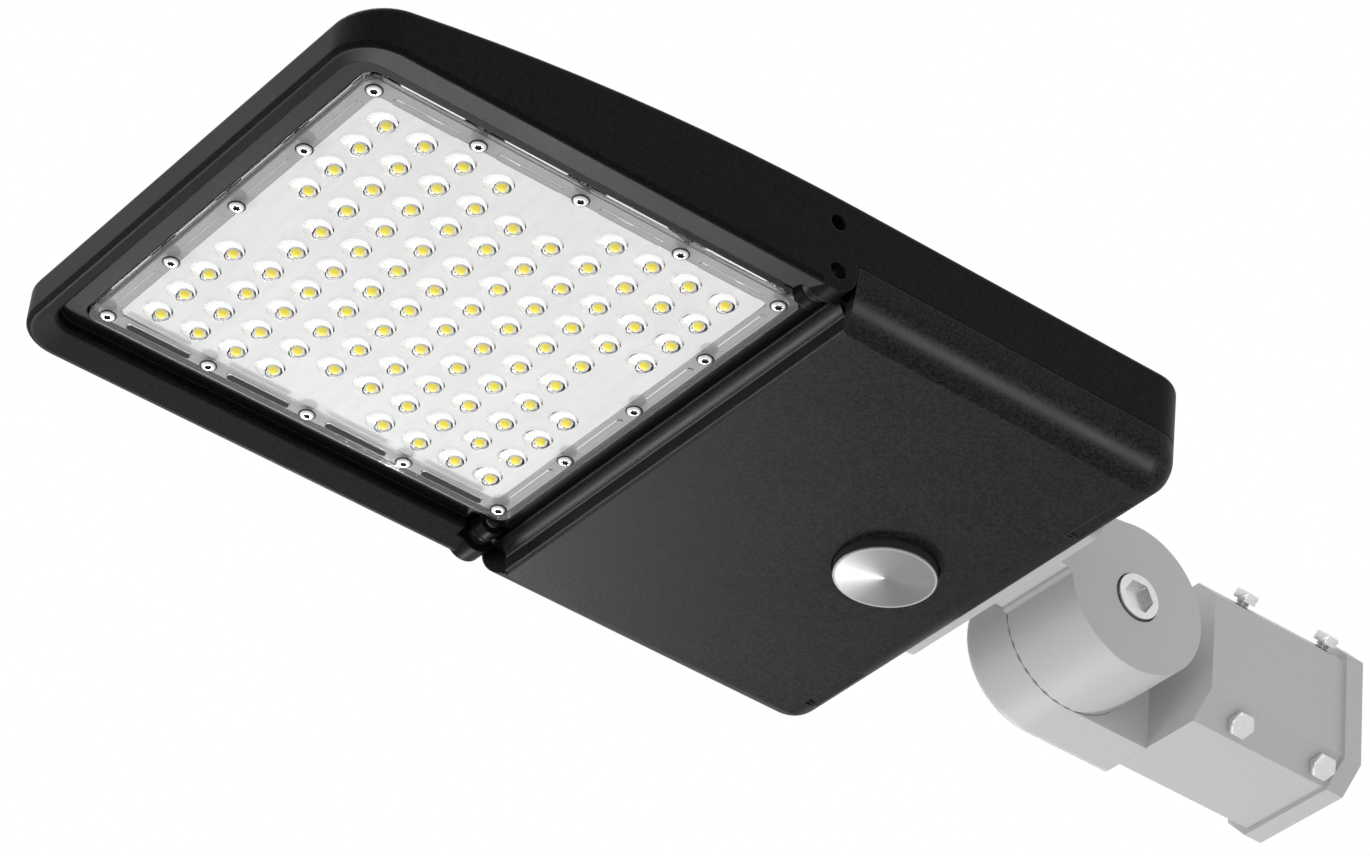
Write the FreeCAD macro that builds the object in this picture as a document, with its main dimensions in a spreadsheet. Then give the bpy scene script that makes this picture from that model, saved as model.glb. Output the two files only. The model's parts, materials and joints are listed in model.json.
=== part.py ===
"""LED street light: a flat cast head with a hinged driver door, on a tilting slip fitter.

Millimetres, +Z up, LEDs facing down. The origin is the centre of the socket's mouth,
where the pole's tenon goes in, and +X runs from the pole to the lit end of the head.
"""
import FreeCAD
import Part
import Sketcher
import math
import os
from FreeCAD import Placement, Rotation, Vector

doc = FreeCAD.newDocument("street_light")

# Driving dimensions
SIZES = {
    # pole socket
    "tenon_bore": 61.5,
    "bore_depth": 74.0,
    "socket_width": 68.6,
    "socket_length": 80.5,
    "socket_chamfer": 11.0,
    "lip_height": 2.2,
    "lip_length": 9.0,
    "set_bolt_first": 17.0,
    "set_bolt_step": 45.0,
    "set_bolt_stand": 2.5,
    "set_bolt_retreat": 0.6,
    # tilting knuckle
    "knuckle_gap": 8.5,
    "drum_radius": 34.5,
    "drum_half": 36.0,
    "pole_half": 35.0,
    "seam_shift": 6.0,
    "seam_gap": 0.3,
    "tooth_depth": 0.5,
    "tooth_length": 7.0,
    "teeth": 36,
    "drum_round": 5.0,
    "wire_ring": 25.0,
    "screw_core": 12.0,
    "wire_hole": 14.0,
    "wire_rise": 15.0,
    "wire_shift": 22.0,
    "drum_wall": 8.0,
    # tilt screw
    "tilt_shank": 12.0,
    "tilt_head": 20.5,
    "tilt_head_height": 5.0,
    "tilt_key": 13.0,
    "tilt_key_depth": 4.0,
    "tilt_recess": 22.0,
    "tilt_recess_depth": 6.0,
    "washer_height": 2.0,
    "nut_width": 18.0,
    "nut_height": 10.8,
    "running_gap": 0.05,
    "rest_gap": 0.3,
    # bracket plate on the head
    "arm_reach": 49.5,
    "plate_thick": 5.0,
    "plate_width": 126.0,
    "plate_shift": 2.5,
    "plate_drop": 4.7,
    "plate_rise": 29.5,
    "plate_round": 6.0,
    "neck_drop": 2.0,
    "bead_radius": 2.2,
    "arm_seal": 1.5,
    "seal_inset": 1.5,
    "arm_bolt_span": 100.0,
    "arm_bolt_low": 11.0,
    "arm_bolt_high": 24.0,
    "bolt_shank": 6.0,
    "bolt_flats": 10.0,
    "bolt_head": 4.0,
    # LED array and its clear cover
    "led_pitch": 17.5,
    "led_side": 10,
    "led_chip": 3.0,
    "led_height": 0.7,
    "board_margin": 11.75,
    "board_thick": 1.6,
    "cover_gap": 0.3,
    "cover_skin": 1.7,
    "dome_radius": 6.2,
    "dome_height": 3.2,
    "dome_shift_x": 1.9,
    "dome_shift_y": 1.2,
    "hollow_radius": 2.8,
    "hollow_height": 2.6,
    "screw_clear": 3.1,
    "screws_side": 5,
    "flange_edge": 6.7,
    "flange_round": 5.0,
    "lens_seal": 1.4,
    "seal_width": 7.0,
    "bar_length": 30.0,
    "bar_width": 3.2,
    "bar_height": 0.6,
    "screw_shank": 3.0,
    "screw_head": 6.0,
    "screw_head_height": 1.0,
    "screw_bite": 6.0,
    # head casting
    "deck_rise": 0.5,
    "ledge_depth": 2.7,
    "pocket_gap": 1.0,
    "ledge_side": 7.7,
    "ledge_front": 9.7,
    "bevel_side": 13.5,
    "bevel_front": 6.5,
    "bevel_rise": 2.6,
    "bevel_round": 2.0,
    "rim_band": 2.5,
    "rim_drop": 9.6,
    "rim_round": 2.0,
    "back_lip": 5.2,
    "front_corner": 20.0,
    "rear_corner": 16.0,
    "top_rise": 33.0,
    "top_round": 3.0,
    "crown_lead": 1.0,
    "crown_drop": 26.0,
    "split_rise": 4.7,
    "bay_length": 167.0,
    "bay_wall": 4.0,
    "bay_back": 4.5,
    "bay_roof": 5.0,
    "cross_wall": 13.0,
    "cross_lip": 3.5,
    "deck_thick": 7.0,
    "fin_lead": 39.5,
    "fin_setback": 26.5,
    "fin_pitch": 12.4,
    "fin_slot": 7.0,
    "fin_slots": 17,
    # hinges
    "lug_radius": 8.75,
    "lug_thick": 10.0,
    "hinge_drop": 2.2,
    "arm_thick": 4.5,
    "arm_gap": 0.5,
    "knuckle_radius": 6.0,
    "boss_thick": 5.5,
    "boss_radius": 6.0,
    "hinge_room": 9.5,
    "pin_diameter": 6.0,
    "pin_recess": 5.0,
    "lug_hole": 7.5,
    "side_hole": 7.0,
    "side_hole_depth": 6.0,
    "side_hole_lead": 2.0,
    "side_hole_rise": 20.0,
    # door
    "door_drop": 17.5,
    "door_wall": 3.0,
    "door_setback": 5.0,
    "seam_line": 0.5,
    "nose_gap": 0.5,
    "flat_inset": 13.0,
    "bull_drop": 1.5,
    "crease_round": 2.5,
    "shelf_drop": 3.0,
    "trough_drop": 9.5,
    "notch_inner": 68.0,
    "notch_width": 34.0,
    "notch_depth": 2.2,
    "notch_reach": 15.0,
    "notch_slit": 1.0,
    "notch_slit_depth": 4.0,
    "front_chamfer": 1.4,
    "front_lip": 5.0,
    "front_lip_gap": 0.6,
    "front_lip_drop": 6.6,
    "cove_radius": 8.0,
    "cove_drop": 8.5,
    "door_seal": 1.8,
    "door_seal_depth": 2.0,
    "seal_edge": 1.1,
    # press button and latch
    "button_back": 52.0,
    "button_radius": 21.4,
    "button_gap": 0.5,
    "button_proud": 4.5,
    "button_height": 7.5,
    "button_skin": 2.0,
    "button_dish": 0.6,
    "button_travel": 3.5,
    "button_round": 1.0,
    "boss_ring": 4.5,
    "boss_roof": 3.0,
    "stem_radius": 5.0,
    "stem_foot": 8.0,
    "stem_foot_height": 1.5,
    "wedge_half": 5.0,
    "wedge_back": 7.0,
    "wedge_top": 2.0,
    "spring_radius": 11.0,
    "spring_wire": 1.0,
    "spring_turns": 4,
    "slide_thick": 4.0,
    "slide_half": 9.0,
    "tongue_half": 6.0,
    "slide_front": 22.0,
    "window_gap": 0.6,
    "guide_first": 12.5,
    "guide_width": 7.5,
    "guide_foot": 5.0,
    "guide_roof": 2.0,
    "guide_screw": 2.5,
    "guide_bite": 2.5,
    "strike_thick": 2.5,
    "strike_half": 10.0,
    "strike_low": 8.0,
    "strike_high": 16.0,
    "strike_screw_span": 12.0,
    "strike_screw_rise": 11.0,
    "strike_bite": 3.0,
    # driver bay
    "driver_length": 170.0,
    "driver_width": 60.0,
    "driver_height": 31.0,
    "driver_round": 2.0,
    "driver_gap": 5.0,
    "tab_reach": 14.0,
    "tab_thick": 2.0,
    "tab_span": 40.0,
    "bay_screw": 4.0,
    "bay_screw_head": 7.5,
    "bay_screw_head_height": 2.6,
    "bay_screw_bite": 3.5,
    "terminal_width": 46.0,
    "terminal_depth": 18.0,
    "terminal_height": 14.0,
    "terminal_gap": 8.0,
    "terminal_shift": 40.0,
    "surge_width": 36.0,
    "surge_length": 44.0,
    "surge_height": 24.0,
    "surge_shift": 70.0,
    "earth_shift": 60.0,
    "lead_diameter": 4.0,
    "lead_duct": 8.0,
    "lead_drop": 9.5,
    "lead_rise": 12.0,
    "lead_reach": 23.0,
    "lead_bend": 8.0,
    "input_rise": 16.0,
    "input_shift": 30.0,
    "grommet_flange": 9.5,
    "grommet_lip": 2.0,
    "grommet_bore": 9.0,
}

sheet = doc.addObject("Spreadsheet::Sheet", "Sizes")
for row, (alias, number) in enumerate(SIZES.items(), 1):
    sheet.set(f"A{row}", alias)
    sheet.set(f"B{row}", str(number))
    sheet.setAlias(f"B{row}", alias)
doc.recompute()


class Size:
    """A length with its value and the sheet expression that gives it."""

    def __init__(self, value, text):
        self.value = value
        self.text = text

    def __add__(self, other):
        other = as_size(other)
        return Size(self.value + other.value, f"({self.text} + {other.text})")

    def __sub__(self, other):
        other = as_size(other)
        return Size(self.value - other.value, f"({self.text} - {other.text})")

    def __mul__(self, other):
        other = as_size(other)
        return Size(self.value * other.value, f"({self.text} * {other.text})")

    def __truediv__(self, other):
        other = as_size(other)
        return Size(self.value / other.value, f"({self.text} / {other.text})")

    def __rsub__(self, other):
        return as_size(other) - self

    def __neg__(self):
        return as_size(0) - self

    __radd__ = __add__
    __rmul__ = __mul__


def as_size(thing):
    return thing if isinstance(thing, Size) else Size(thing, repr(thing))


class Sheet:
    """Reads a size of the sheet by its alias."""

    def __getattr__(self, alias):
        return Size(float(sheet.get(alias)), f"Sizes.{alias}")


s = Sheet()
ZERO = as_size(0)
SIDES = (-1, 1)
LEVEL = 1e-3

# Places along X, from the socket's mouth to the lit end
tilt_x = s.socket_length + s.knuckle_gap + s.drum_radius
rear = tilt_x + s.arm_reach
step_x = rear + s.bay_length
hinge_x = step_x + s.lug_radius
board_half = s.led_pitch * (s.led_side - 1) / 2 + s.board_margin
screw_half = board_half + s.screw_clear
cover_half = screw_half + s.flange_edge
pocket_half = cover_half + s.pocket_gap
lens_x = step_x + s.back_lip + pocket_half
recess_front = lens_x + pocket_half + s.ledge_front
front = recess_front + s.bevel_front + s.rim_band
door_nose = step_x - s.nose_gap
door_front = step_x - s.door_setback
bay_front = step_x - s.cross_wall
button_x = rear + s.button_back

# Places along Y, from the middle of the head
recess_half = pocket_half + s.ledge_side
half = recess_half + s.bevel_side + s.rim_band
lug_inner = half - s.lug_thick
arm_outer = lug_inner - s.arm_gap
arm_inner = arm_outer - s.arm_thick
boss_outer = arm_inner - s.arm_gap
boss_inner = boss_outer - s.boss_thick
seam_y = -s.seam_shift
arm_seam = seam_y + s.seam_gap / 2
pole_seam = seam_y - s.seam_gap / 2
flat_half = half - s.flat_inset

# Levels along Z, from the socket's axis
rim_z = -s.rim_drop
deck_z = s.deck_rise
ledge_z = deck_z - s.ledge_depth
board_z = deck_z - s.board_thick
chip_z = board_z - s.led_height
cover_in = chip_z - s.cover_gap
cover_z = cover_in - s.cover_skin
flange_in = deck_z - s.lens_seal
crown_z = s.top_rise
front_top = crown_z - s.crown_drop
split_z = s.split_rise
ceiling = crown_z - s.bay_roof
hinge_z = -s.hinge_drop
door_top = split_z - s.seam_line
door_z = -s.door_drop
door_floor = door_z + s.door_wall
button_face = door_z - s.button_proud
button_back_z = button_face + s.button_height
button_roof = button_back_z + s.button_travel + s.button_gap
boss_top = button_roof + s.boss_roof
slide_z = boss_top + s.rest_gap
slide_top = slide_z + s.slide_thick
guide_roof_z = slide_top + s.rest_gap
strike_x = rear + s.bay_back
strike_face = strike_x + s.strike_thick


def bind(thing, prop, size):
    """Ties one property of an object to the sheet."""
    thing.setExpression(prop, as_size(size).text)


def place(thing, x, y, z, turn=None):
    """Puts an object at a point given by sizes, with a fixed turn."""
    thing.Placement = Placement(Vector(), turn or Rotation())
    for axis, size in zip("xyz", (x, y, z)):
        bind(thing, f"Placement.Base.{axis}", size)


# Sketches
def new_body(label):
    body = doc.addObject("PartDesign::Body", label)
    body.Label = label
    return body


def origin_feature(body, role):
    return next(f for f in body.Origin.OriginFeatures if f.Role == role)


def new_sketch(body, name, plane, at=ZERO):
    """A sketch parallel to an origin plane, at a level along that plane's world axis."""
    sketch = body.newObject("Sketcher::SketchObject", name)
    sketch.AttachmentSupport = [(origin_feature(body, f"{plane}_Plane"), "")]
    sketch.MapMode = "FlatFace"
    bind(sketch, "AttachmentOffset.Base.z", -as_size(at) if plane == "XZ" else as_size(at))
    return sketch


def datum(sketch, kind, size, *where):
    index = sketch.addConstraint(Sketcher.Constraint(kind, *where, size.value))
    sketch.setExpression(f"Constraints[{index}]", size.text)


def pin(sketch, geo, point, x, y):
    """Fixes a point of a sketch at a place measured from the sketch's origin."""
    datum(sketch, "DistanceX", as_size(x), -1, 1, geo, point)
    datum(sketch, "DistanceY", as_size(y), -1, 1, geo, point)


def vector(x, y):
    return Vector(as_size(x).value, as_size(y).value, 0)


def polygon(sketch, points):
    """A closed outline of straight lines through the points."""
    first = sketch.GeometryCount
    count = len(points)
    for a, b in zip(points, points[1:] + points[:1]):
        sketch.addGeometry(Part.LineSegment(vector(*a), vector(*b)))
    for k in range(count):
        following = first + (k + 1) % count
        sketch.addConstraint(Sketcher.Constraint("Coincident", first + k, 2, following, 1))
        pin(sketch, first + k, 1, *points[k])


def rectangle(sketch, x0, x1, y0, y1):
    polygon(sketch, [(x0, y0), (x1, y0), (x1, y1), (x0, y1)])


def circle(sketch, x, y, radius):
    radius = as_size(radius)
    geo = sketch.addGeometry(Part.Circle(vector(x, y), Vector(0, 0, 1), radius.value))
    pin(sketch, geo, 3, x, y)
    datum(sketch, "Radius", radius, geo)


def corner_arc(sketch, before, after, centre, radius, start):
    """Joins the end of one line to the start of another by a tangent quarter circle."""
    round_corner = Part.Circle(centre, Vector(0, 0, 1), radius)
    arc = sketch.addGeometry(Part.ArcOfCircle(round_corner, start, start + math.pi / 2))
    sketch.addConstraint(Sketcher.Constraint("Tangent", before, 2, arc, 1))
    sketch.addConstraint(Sketcher.Constraint("Coincident", arc, 2, after, 1))


def rounded(sketch, x0, x1, y0, y1, low, high=None):
    """A rectangle whose corners are quarter circles: low at the x0 end, high at the x1 end."""
    low = as_size(low)
    high = as_size(high or low)
    runs = [
        ((x0 + low, y0), (x1 - high, y0)),
        ((x1, y0 + high), (x1, y1 - high)),
        ((x1 - high, y1), (x0 + low, y1)),
        ((x0, y1 - low), (x0, y0 + low)),
    ]
    first = sketch.GeometryCount
    for geo, (a, b) in enumerate(runs, first):
        sketch.addGeometry(Part.LineSegment(vector(*a), vector(*b)))
        pin(sketch, geo, 1, *a)
        pin(sketch, geo, 2, *b)
    corners = [
        ((x1 - high, y0 + high), high),
        ((x1 - high, y1 - high), high),
        ((x0 + low, y1 - low), low),
        ((x0 + low, y0 + low), low),
    ]
    for k, (centre, radius) in enumerate(corners):
        after = first + (k + 1) % 4
        corner_arc(sketch, first + k, after, vector(*centre), radius.value, (k - 1) * math.pi / 2)


def tab(sketch, x, z, radius, top):
    """An upright tongue with a half-round lower end about (x, z)."""
    radius = as_size(radius)
    first = sketch.GeometryCount
    runs = [
        ((x + radius, z), (x + radius, top)),
        ((x + radius, top), (x - radius, top)),
        ((x - radius, top), (x - radius, z)),
    ]
    for a, b in runs:
        sketch.addGeometry(Part.LineSegment(vector(*a), vector(*b)))
    lower = Part.Circle(vector(x, z), Vector(0, 0, 1), radius.value)
    arc = sketch.addGeometry(Part.ArcOfCircle(lower, math.pi, 2 * math.pi))
    for k in range(2):
        sketch.addConstraint(Sketcher.Constraint("Coincident", first + k, 2, first + k + 1, 1))
    for k in range(3):
        pin(sketch, first + k, 1, *runs[k][0])
    pin(sketch, first + 2, 2, *runs[2][1])
    sketch.addConstraint(Sketcher.Constraint("Tangent", first + 2, 2, arc, 1))
    sketch.addConstraint(Sketcher.Constraint("Coincident", arc, 2, first, 1))


# Features
def extrude(body, kind, sketch, length, toward):
    """Pads or pockets a sketch along its plane's world axis, towards + or -."""
    before = body.Shape.Volume if body.Tip else 0
    feature = body.newObject(f"PartDesign::{kind}", f"{sketch.Name}_{kind.lower()}")
    feature.Profile = sketch
    bind(feature, "Length", length)
    on_side = sketch.AttachmentSupport[0][0].Role == "XZ_Plane"
    natural = -1 if on_side else 1
    if kind == "Pocket":
        natural = -natural
    feature.Reversed = natural != toward
    doc.recompute()
    changed = body.Shape.Volume - before
    if changed * (1 if kind == "Pad" else -1) < LEVEL:
        raise ValueError(f"{feature.Name} changes nothing")
    return feature


def pad(body, sketch, length, toward=1):
    return extrude(body, "Pad", sketch, length, toward)


def pocket(body, sketch, length, toward=1):
    return extrude(body, "Pocket", sketch, length, toward)


def samples(edge):
    first, last = edge.ParameterRange
    return [edge.valueAt(first + (last - first) * k / 4) for k in range(5)]


def on_level(edge, axis, size):
    level = as_size(size).value
    return all(abs(getattr(p, axis) - level) < LEVEL for p in samples(edge))


def upright(edge, x, y):
    return on_level(edge, "x", x) and on_level(edge, "y", y)


def round_edges(body, radius, chosen):
    """Fillets every edge of the body that passes the test."""
    base = body.Tip
    names = [f"Edge{k}" for k, edge in enumerate(base.Shape.Edges, 1) if chosen(edge)]
    if not names:
        raise ValueError(f"no edge to round on {body.Label}")
    feature = body.newObject("PartDesign::Fillet", f"{body.Name}_round")
    feature.Base = (base, names)
    bind(feature, "Radius", radius)
    doc.recompute()
    if "Invalid" in feature.State or not feature.Shape.isValid():
        raise ValueError(f"{feature.Name} cannot be rounded")


def repeat(body, feature, kind, axis, count, reach):
    """Repeats a feature in a row along an axis, or round it."""
    pattern = body.newObject(f"PartDesign::{kind}", f"{feature.Name}_row")
    pattern.Originals = [feature]
    line = (origin_feature(body, f"{axis}_Axis"), [""])
    if kind == "LinearPattern":
        pattern.Direction = line
        bind(pattern, "Length", reach)
    else:
        pattern.Axis = line
        bind(pattern, "Angle", reach)
    bind(pattern, "Occurrences", count)
    body.Tip = pattern
    doc.recompute()


# Plain solids
def box(name, x0, x1, y0, y1, z0, z1):
    thing = doc.addObject("Part::Box", name)
    for prop, low, high in (("Length", x0, x1), ("Width", y0, y1), ("Height", z0, z1)):
        bind(thing, prop, as_size(high) - low)
    place(thing, x0, y0, z0)
    return thing


TURN_TO = {
    "X": Rotation(Vector(0, 0, 1), Vector(1, 0, 0)),
    "-X": Rotation(Vector(0, 0, 1), Vector(-1, 0, 0)),
    "Y": Rotation(Vector(0, 0, 1), Vector(0, 1, 0)),
    "-Y": Rotation(Vector(0, 0, 1), Vector(0, -1, 0)),
    "Z": Rotation(),
    "-Z": Rotation(Vector(0, 0, 1), Vector(0, 0, -1)),
}


def rod(name, radius, length, at, axis):
    thing = doc.addObject("Part::Cylinder", name)
    bind(thing, "Radius", radius)
    bind(thing, "Height", length)
    place(thing, *at, axis if isinstance(axis, Rotation) else TURN_TO[axis])
    return thing


def hexagon(name, flats, length, at, axis):
    thing = doc.addObject("Part::Prism", name)
    thing.Polygon = 6
    bind(thing, "Circumradius", as_size(flats) / math.sqrt(3))
    bind(thing, "Height", length)
    place(thing, *at, axis if isinstance(axis, Rotation) else TURN_TO[axis])
    return thing


def fuse(label, *things):
    joined = doc.addObject("Part::MultiFuse", label)
    joined.Label = label
    joined.Shapes = list(things)
    return joined


def cut(label, base, *tools):
    tool = tools[0] if len(tools) == 1 else group(f"{label}_tools", tools)
    left = doc.addObject("Part::Cut", label)
    left.Label = label
    left.Base = base
    left.Tool = tool
    return left


def group(label, things):
    many = doc.addObject("Part::Compound", label)
    many.Label = label
    many.Links = list(things)
    return many


def screw(name, at, axis, shank, bite, head, head_height, key=None):
    """A pan-head screw, or a hex bolt when the key is its head's flats."""
    x, y, z = at
    inward = (axis if isinstance(axis, Rotation) else TURN_TO[axis]).multVec(Vector(0, 0, 1))
    stem = rod(f"{name}_stem", shank / 2, bite, at, axis)
    top = [as_size(v) - round(d, 9) * as_size(head_height) for v, d in zip((x, y, z), inward)]
    if key:
        cap = hexagon(f"{name}_head", key, head_height, top, axis)
    else:
        cap = rod(f"{name}_head", as_size(head) / 2, head_height, top, axis)
    return fuse(name, stem, cap)


def feature(label, shape):
    thing = doc.addObject("Part::Feature", label)
    thing.Label = label
    thing.Shape = shape
    return thing


# Places of the LEDs and of the screws round them
def led_places():
    """A square array, without the two middle places of each outer row and column."""
    side = int(SIZES["led_side"])
    middle = (side // 2 - 1, side // 2)
    for i in range(side):
        for j in range(side):
            on_side = i in (0, side - 1) and j in middle
            on_end = j in (0, side - 1) and i in middle
            if not on_side and not on_end:
                yield lens_x + s.led_pitch * (i - (side - 1) / 2), s.led_pitch * (j - (side - 1) / 2)


def screw_offsets():
    count = int(SIZES["screws_side"])
    return [screw_half * (2 * k / (count - 1) - 1) for k in range(count)]


def cover_screw_places():
    offsets = screw_offsets()
    for i, x in enumerate(offsets):
        for j, y in enumerate(offsets):
            if i in (0, len(offsets) - 1) or j in (0, len(offsets) - 1):
                yield lens_x + x, y


def bar_places():
    """Middles of the raised bars between neighbouring screws, and whether each lies along X."""
    offsets = screw_offsets()
    for a, b in zip(offsets, offsets[1:]):
        for side in SIDES:
            yield lens_x + (a + b) / 2, screw_half * side, True
            yield lens_x + screw_half * side, (a + b) / 2, False


# Pole half of the knuckle, drawn about the tilt axis
def octagon(sketch, width, chamfer):
    reach = as_size(width) / 2
    flat = reach - chamfer
    polygon(sketch, [
        (-reach, -flat), (-flat, -reach), (flat, -reach), (reach, -flat),
        (reach, flat), (flat, reach), (-flat, reach), (-reach, flat),
    ])


def serrate(body, name, face_y, inward):
    """Cuts radial V grooves in the rim of a drum's face."""
    sketch = new_sketch(body, name, "YZ", s.drum_radius - s.tooth_length)
    spread = s.drum_radius * math.pi / s.teeth
    polygon(sketch, [(face_y, -spread), (face_y + s.tooth_depth * inward, ZERO), (face_y, spread)])
    groove = pocket(body, sketch, s.tooth_length + LEVEL, 1)
    repeat(body, groove, "PolarPattern", "Y", s.teeth, 360)


def wire_ring(body, name, face_y, depth, toward):
    """The hollow round the tilt screw that the wires pass through."""
    sketch = new_sketch(body, name, "XZ", face_y)
    circle(sketch, ZERO, ZERO, s.wire_ring)
    circle(sketch, ZERO, ZERO, s.screw_core)
    pocket(body, sketch, depth, toward)


SET_BOLT_TURNS = [
    Rotation(Vector(0, 0, 1), Vector(0, -1, -lift)) for lift in SIDES
]


def set_bolt_places(distance):
    """Points at a distance from the socket's axis, on its two 45 degree faces, with inward turns."""
    offset = distance / math.sqrt(2)
    for step in range(2):
        for lift, turn in zip(SIDES, SET_BOLT_TURNS):
            yield (s.set_bolt_first + s.set_bolt_step * step, offset, offset * lift), turn


def make_slip_fitter():
    body = new_body("slip_fitter_casting")
    drum_end = -s.pole_half
    length = pole_seam - drum_end
    drum = new_sketch(body, "pole_drum", "XZ", drum_end)
    circle(drum, ZERO, ZERO, s.drum_radius)
    pad(body, drum, length)
    neck = new_sketch(body, "pole_neck", "XZ", drum_end)
    rectangle(neck, s.socket_length - tilt_x, ZERO, -s.drum_radius, s.drum_radius)
    pad(body, neck, length)
    round_edges(body, s.drum_round, lambda e: on_level(e, "y", drum_end)
                and not on_level(e, "x", s.socket_length - tilt_x))
    socket = new_sketch(body, "socket", "YZ", -tilt_x)
    octagon(socket, s.socket_width, s.socket_chamfer)
    pad(body, socket, s.socket_length)
    lip = new_sketch(body, "socket_lip", "YZ", -tilt_x)
    octagon(lip, s.socket_width + s.lip_height * 2, s.socket_chamfer)
    pad(body, lip, s.lip_length)
    bore = new_sketch(body, "tenon_bore_outline", "YZ", -tilt_x)
    circle(bore, ZERO, ZERO, s.tenon_bore / 2)
    pocket(body, bore, s.bore_depth)
    wire_ring(body, "pole_wire_ring", pole_seam, length - s.drum_wall, -1)
    wire = new_sketch(body, "pole_wire_hole", "YZ", s.bore_depth - tilt_x)
    circle(wire, pole_seam - s.wire_hole, s.wire_rise, s.wire_hole / 2)
    pocket(body, wire, tilt_x - s.bore_depth - s.screw_core)
    hole = new_sketch(body, "pole_screw_hole", "XZ", drum_end)
    circle(hole, ZERO, ZERO, s.tilt_shank / 2 + s.running_gap)
    pocket(body, hole, s.pole_half)
    serrate(body, "pole_teeth", pole_seam, -1)
    place(body, tilt_x, ZERO, ZERO)
    nut_room = hexagon("nut_room", s.nut_width + s.running_gap * 2, s.nut_height,
                       (tilt_x, drum_end, ZERO), "Y")
    deep = (s.socket_width + s.lip_height) / 2 * math.sqrt(2)
    bolt_holes = [
        rod(f"set_bolt_hole_{k}", s.bolt_shank / 2 + s.running_gap, deep - s.screw_core, at, turn)
        for k, (at, turn) in enumerate(set_bolt_places(deep))
    ]
    return cut("slip_fitter", body, nut_room, *bolt_holes)


def make_set_bolts():
    chamfer_at = (s.socket_width - s.socket_chamfer) / math.sqrt(2)
    head_at = chamfer_at + s.set_bolt_stand
    bite = head_at - s.tenon_bore / 2 - s.set_bolt_retreat
    return group("set_bolts", [
        turned_bolt(f"set_bolt_{k}", at, turn, bite) for k, (at, turn) in enumerate(set_bolt_places(head_at))
    ])


def turned_bolt(name, at, turn, bite):
    return screw(name, at, turn, s.bolt_shank, bite, ZERO, s.bolt_head, s.bolt_flats)


def make_tilt_screw():
    under_head = s.drum_half - s.tilt_recess_depth + s.rest_gap + s.washer_height
    shank = rod("tilt_shank_rod", s.tilt_shank / 2, under_head + s.pole_half - s.rest_gap,
                (tilt_x, under_head, ZERO), "-Y")
    head = rod("tilt_head_disc", s.tilt_head / 2, s.tilt_head_height, (tilt_x, under_head, ZERO), "Y")
    key = hexagon("tilt_key_socket", s.tilt_key, s.tilt_key_depth,
                  (tilt_x, under_head + s.tilt_head_height - s.tilt_key_depth, ZERO), "Y")
    return cut("tilt_screw", fuse("tilt_screw_blank", shank, head), key)


def make_tilt_washer():
    at = (tilt_x, s.drum_half - s.tilt_recess_depth + s.rest_gap, ZERO)
    disc = rod("washer_disc", s.tilt_recess / 2 - s.button_gap, s.washer_height, at, "Y")
    hole = rod("washer_hole", s.tilt_shank / 2 + s.running_gap, s.washer_height, at, "Y")
    return cut("tilt_washer", disc, hole)


def make_tilt_nut():
    at = (tilt_x, -s.pole_half, ZERO)
    block = hexagon("nut_block", s.nut_width, s.nut_height, at, "Y")
    hole = rod("nut_hole", s.tilt_shank / 2 + s.running_gap, s.nut_height, at, "Y")
    return cut("tilt_nut", block, hole)


# Head half of the knuckle, drawn about the tilt axis
def arm_bolt_places():
    for y in (s.plate_shift - s.arm_bolt_span / 2, s.plate_shift + s.arm_bolt_span / 2):
        for z in (s.arm_bolt_low, s.arm_bolt_high):
            yield y, z


def make_tilt_arm():
    body = new_body("tilt_arm")
    length = s.drum_half - arm_seam
    plate_face = s.arm_reach - s.arm_seal
    plate_back = plate_face - s.plate_thick
    drum = new_sketch(body, "arm_drum", "XZ", arm_seam)
    circle(drum, ZERO, ZERO, s.drum_radius)
    pad(body, drum, length)
    neck = new_sketch(body, "arm_neck", "XZ", arm_seam)
    polygon(neck, [(ZERO, -s.neck_drop), (plate_back, -s.neck_drop),
                   (plate_back, s.plate_rise), (ZERO, s.drum_radius)])
    pad(body, neck, length)
    bead = new_sketch(body, "arm_bead", "XZ", arm_seam)
    circle(bead, s.drum_radius, -s.neck_drop, s.bead_radius)
    pad(body, bead, length)
    plate = new_sketch(body, "arm_plate", "YZ", plate_back)
    rounded(plate, s.plate_shift - s.plate_width / 2, s.plate_shift + s.plate_width / 2,
            -s.plate_drop, s.plate_rise, s.plate_round)
    pad(body, plate, s.plate_thick)
    recess = new_sketch(body, "arm_screw_recess", "XZ", s.drum_half)
    circle(recess, ZERO, ZERO, s.tilt_recess / 2)
    pocket(body, recess, s.tilt_recess_depth, -1)
    hole = new_sketch(body, "arm_screw_hole", "XZ", arm_seam)
    circle(hole, ZERO, ZERO, s.tilt_shank / 2 + s.running_gap)
    pocket(body, hole, length)
    wire_ring(body, "arm_wire_ring", arm_seam, length - s.drum_wall, 1)
    holes = new_sketch(body, "arm_plate_holes", "YZ", plate_face)
    for y, z in arm_bolt_places():
        circle(holes, y, z, s.bolt_shank / 2 + s.running_gap)
    pocket(body, holes, s.plate_thick, -1)
    wire = new_sketch(body, "arm_wire_hole", "YZ", plate_face)
    circle(wire, s.wire_shift, s.wire_rise, s.wire_hole / 2)
    pocket(body, wire, plate_face - s.screw_core, -1)
    serrate(body, "arm_teeth", arm_seam, 1)
    place(body, tilt_x, ZERO, ZERO)
    return body


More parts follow.
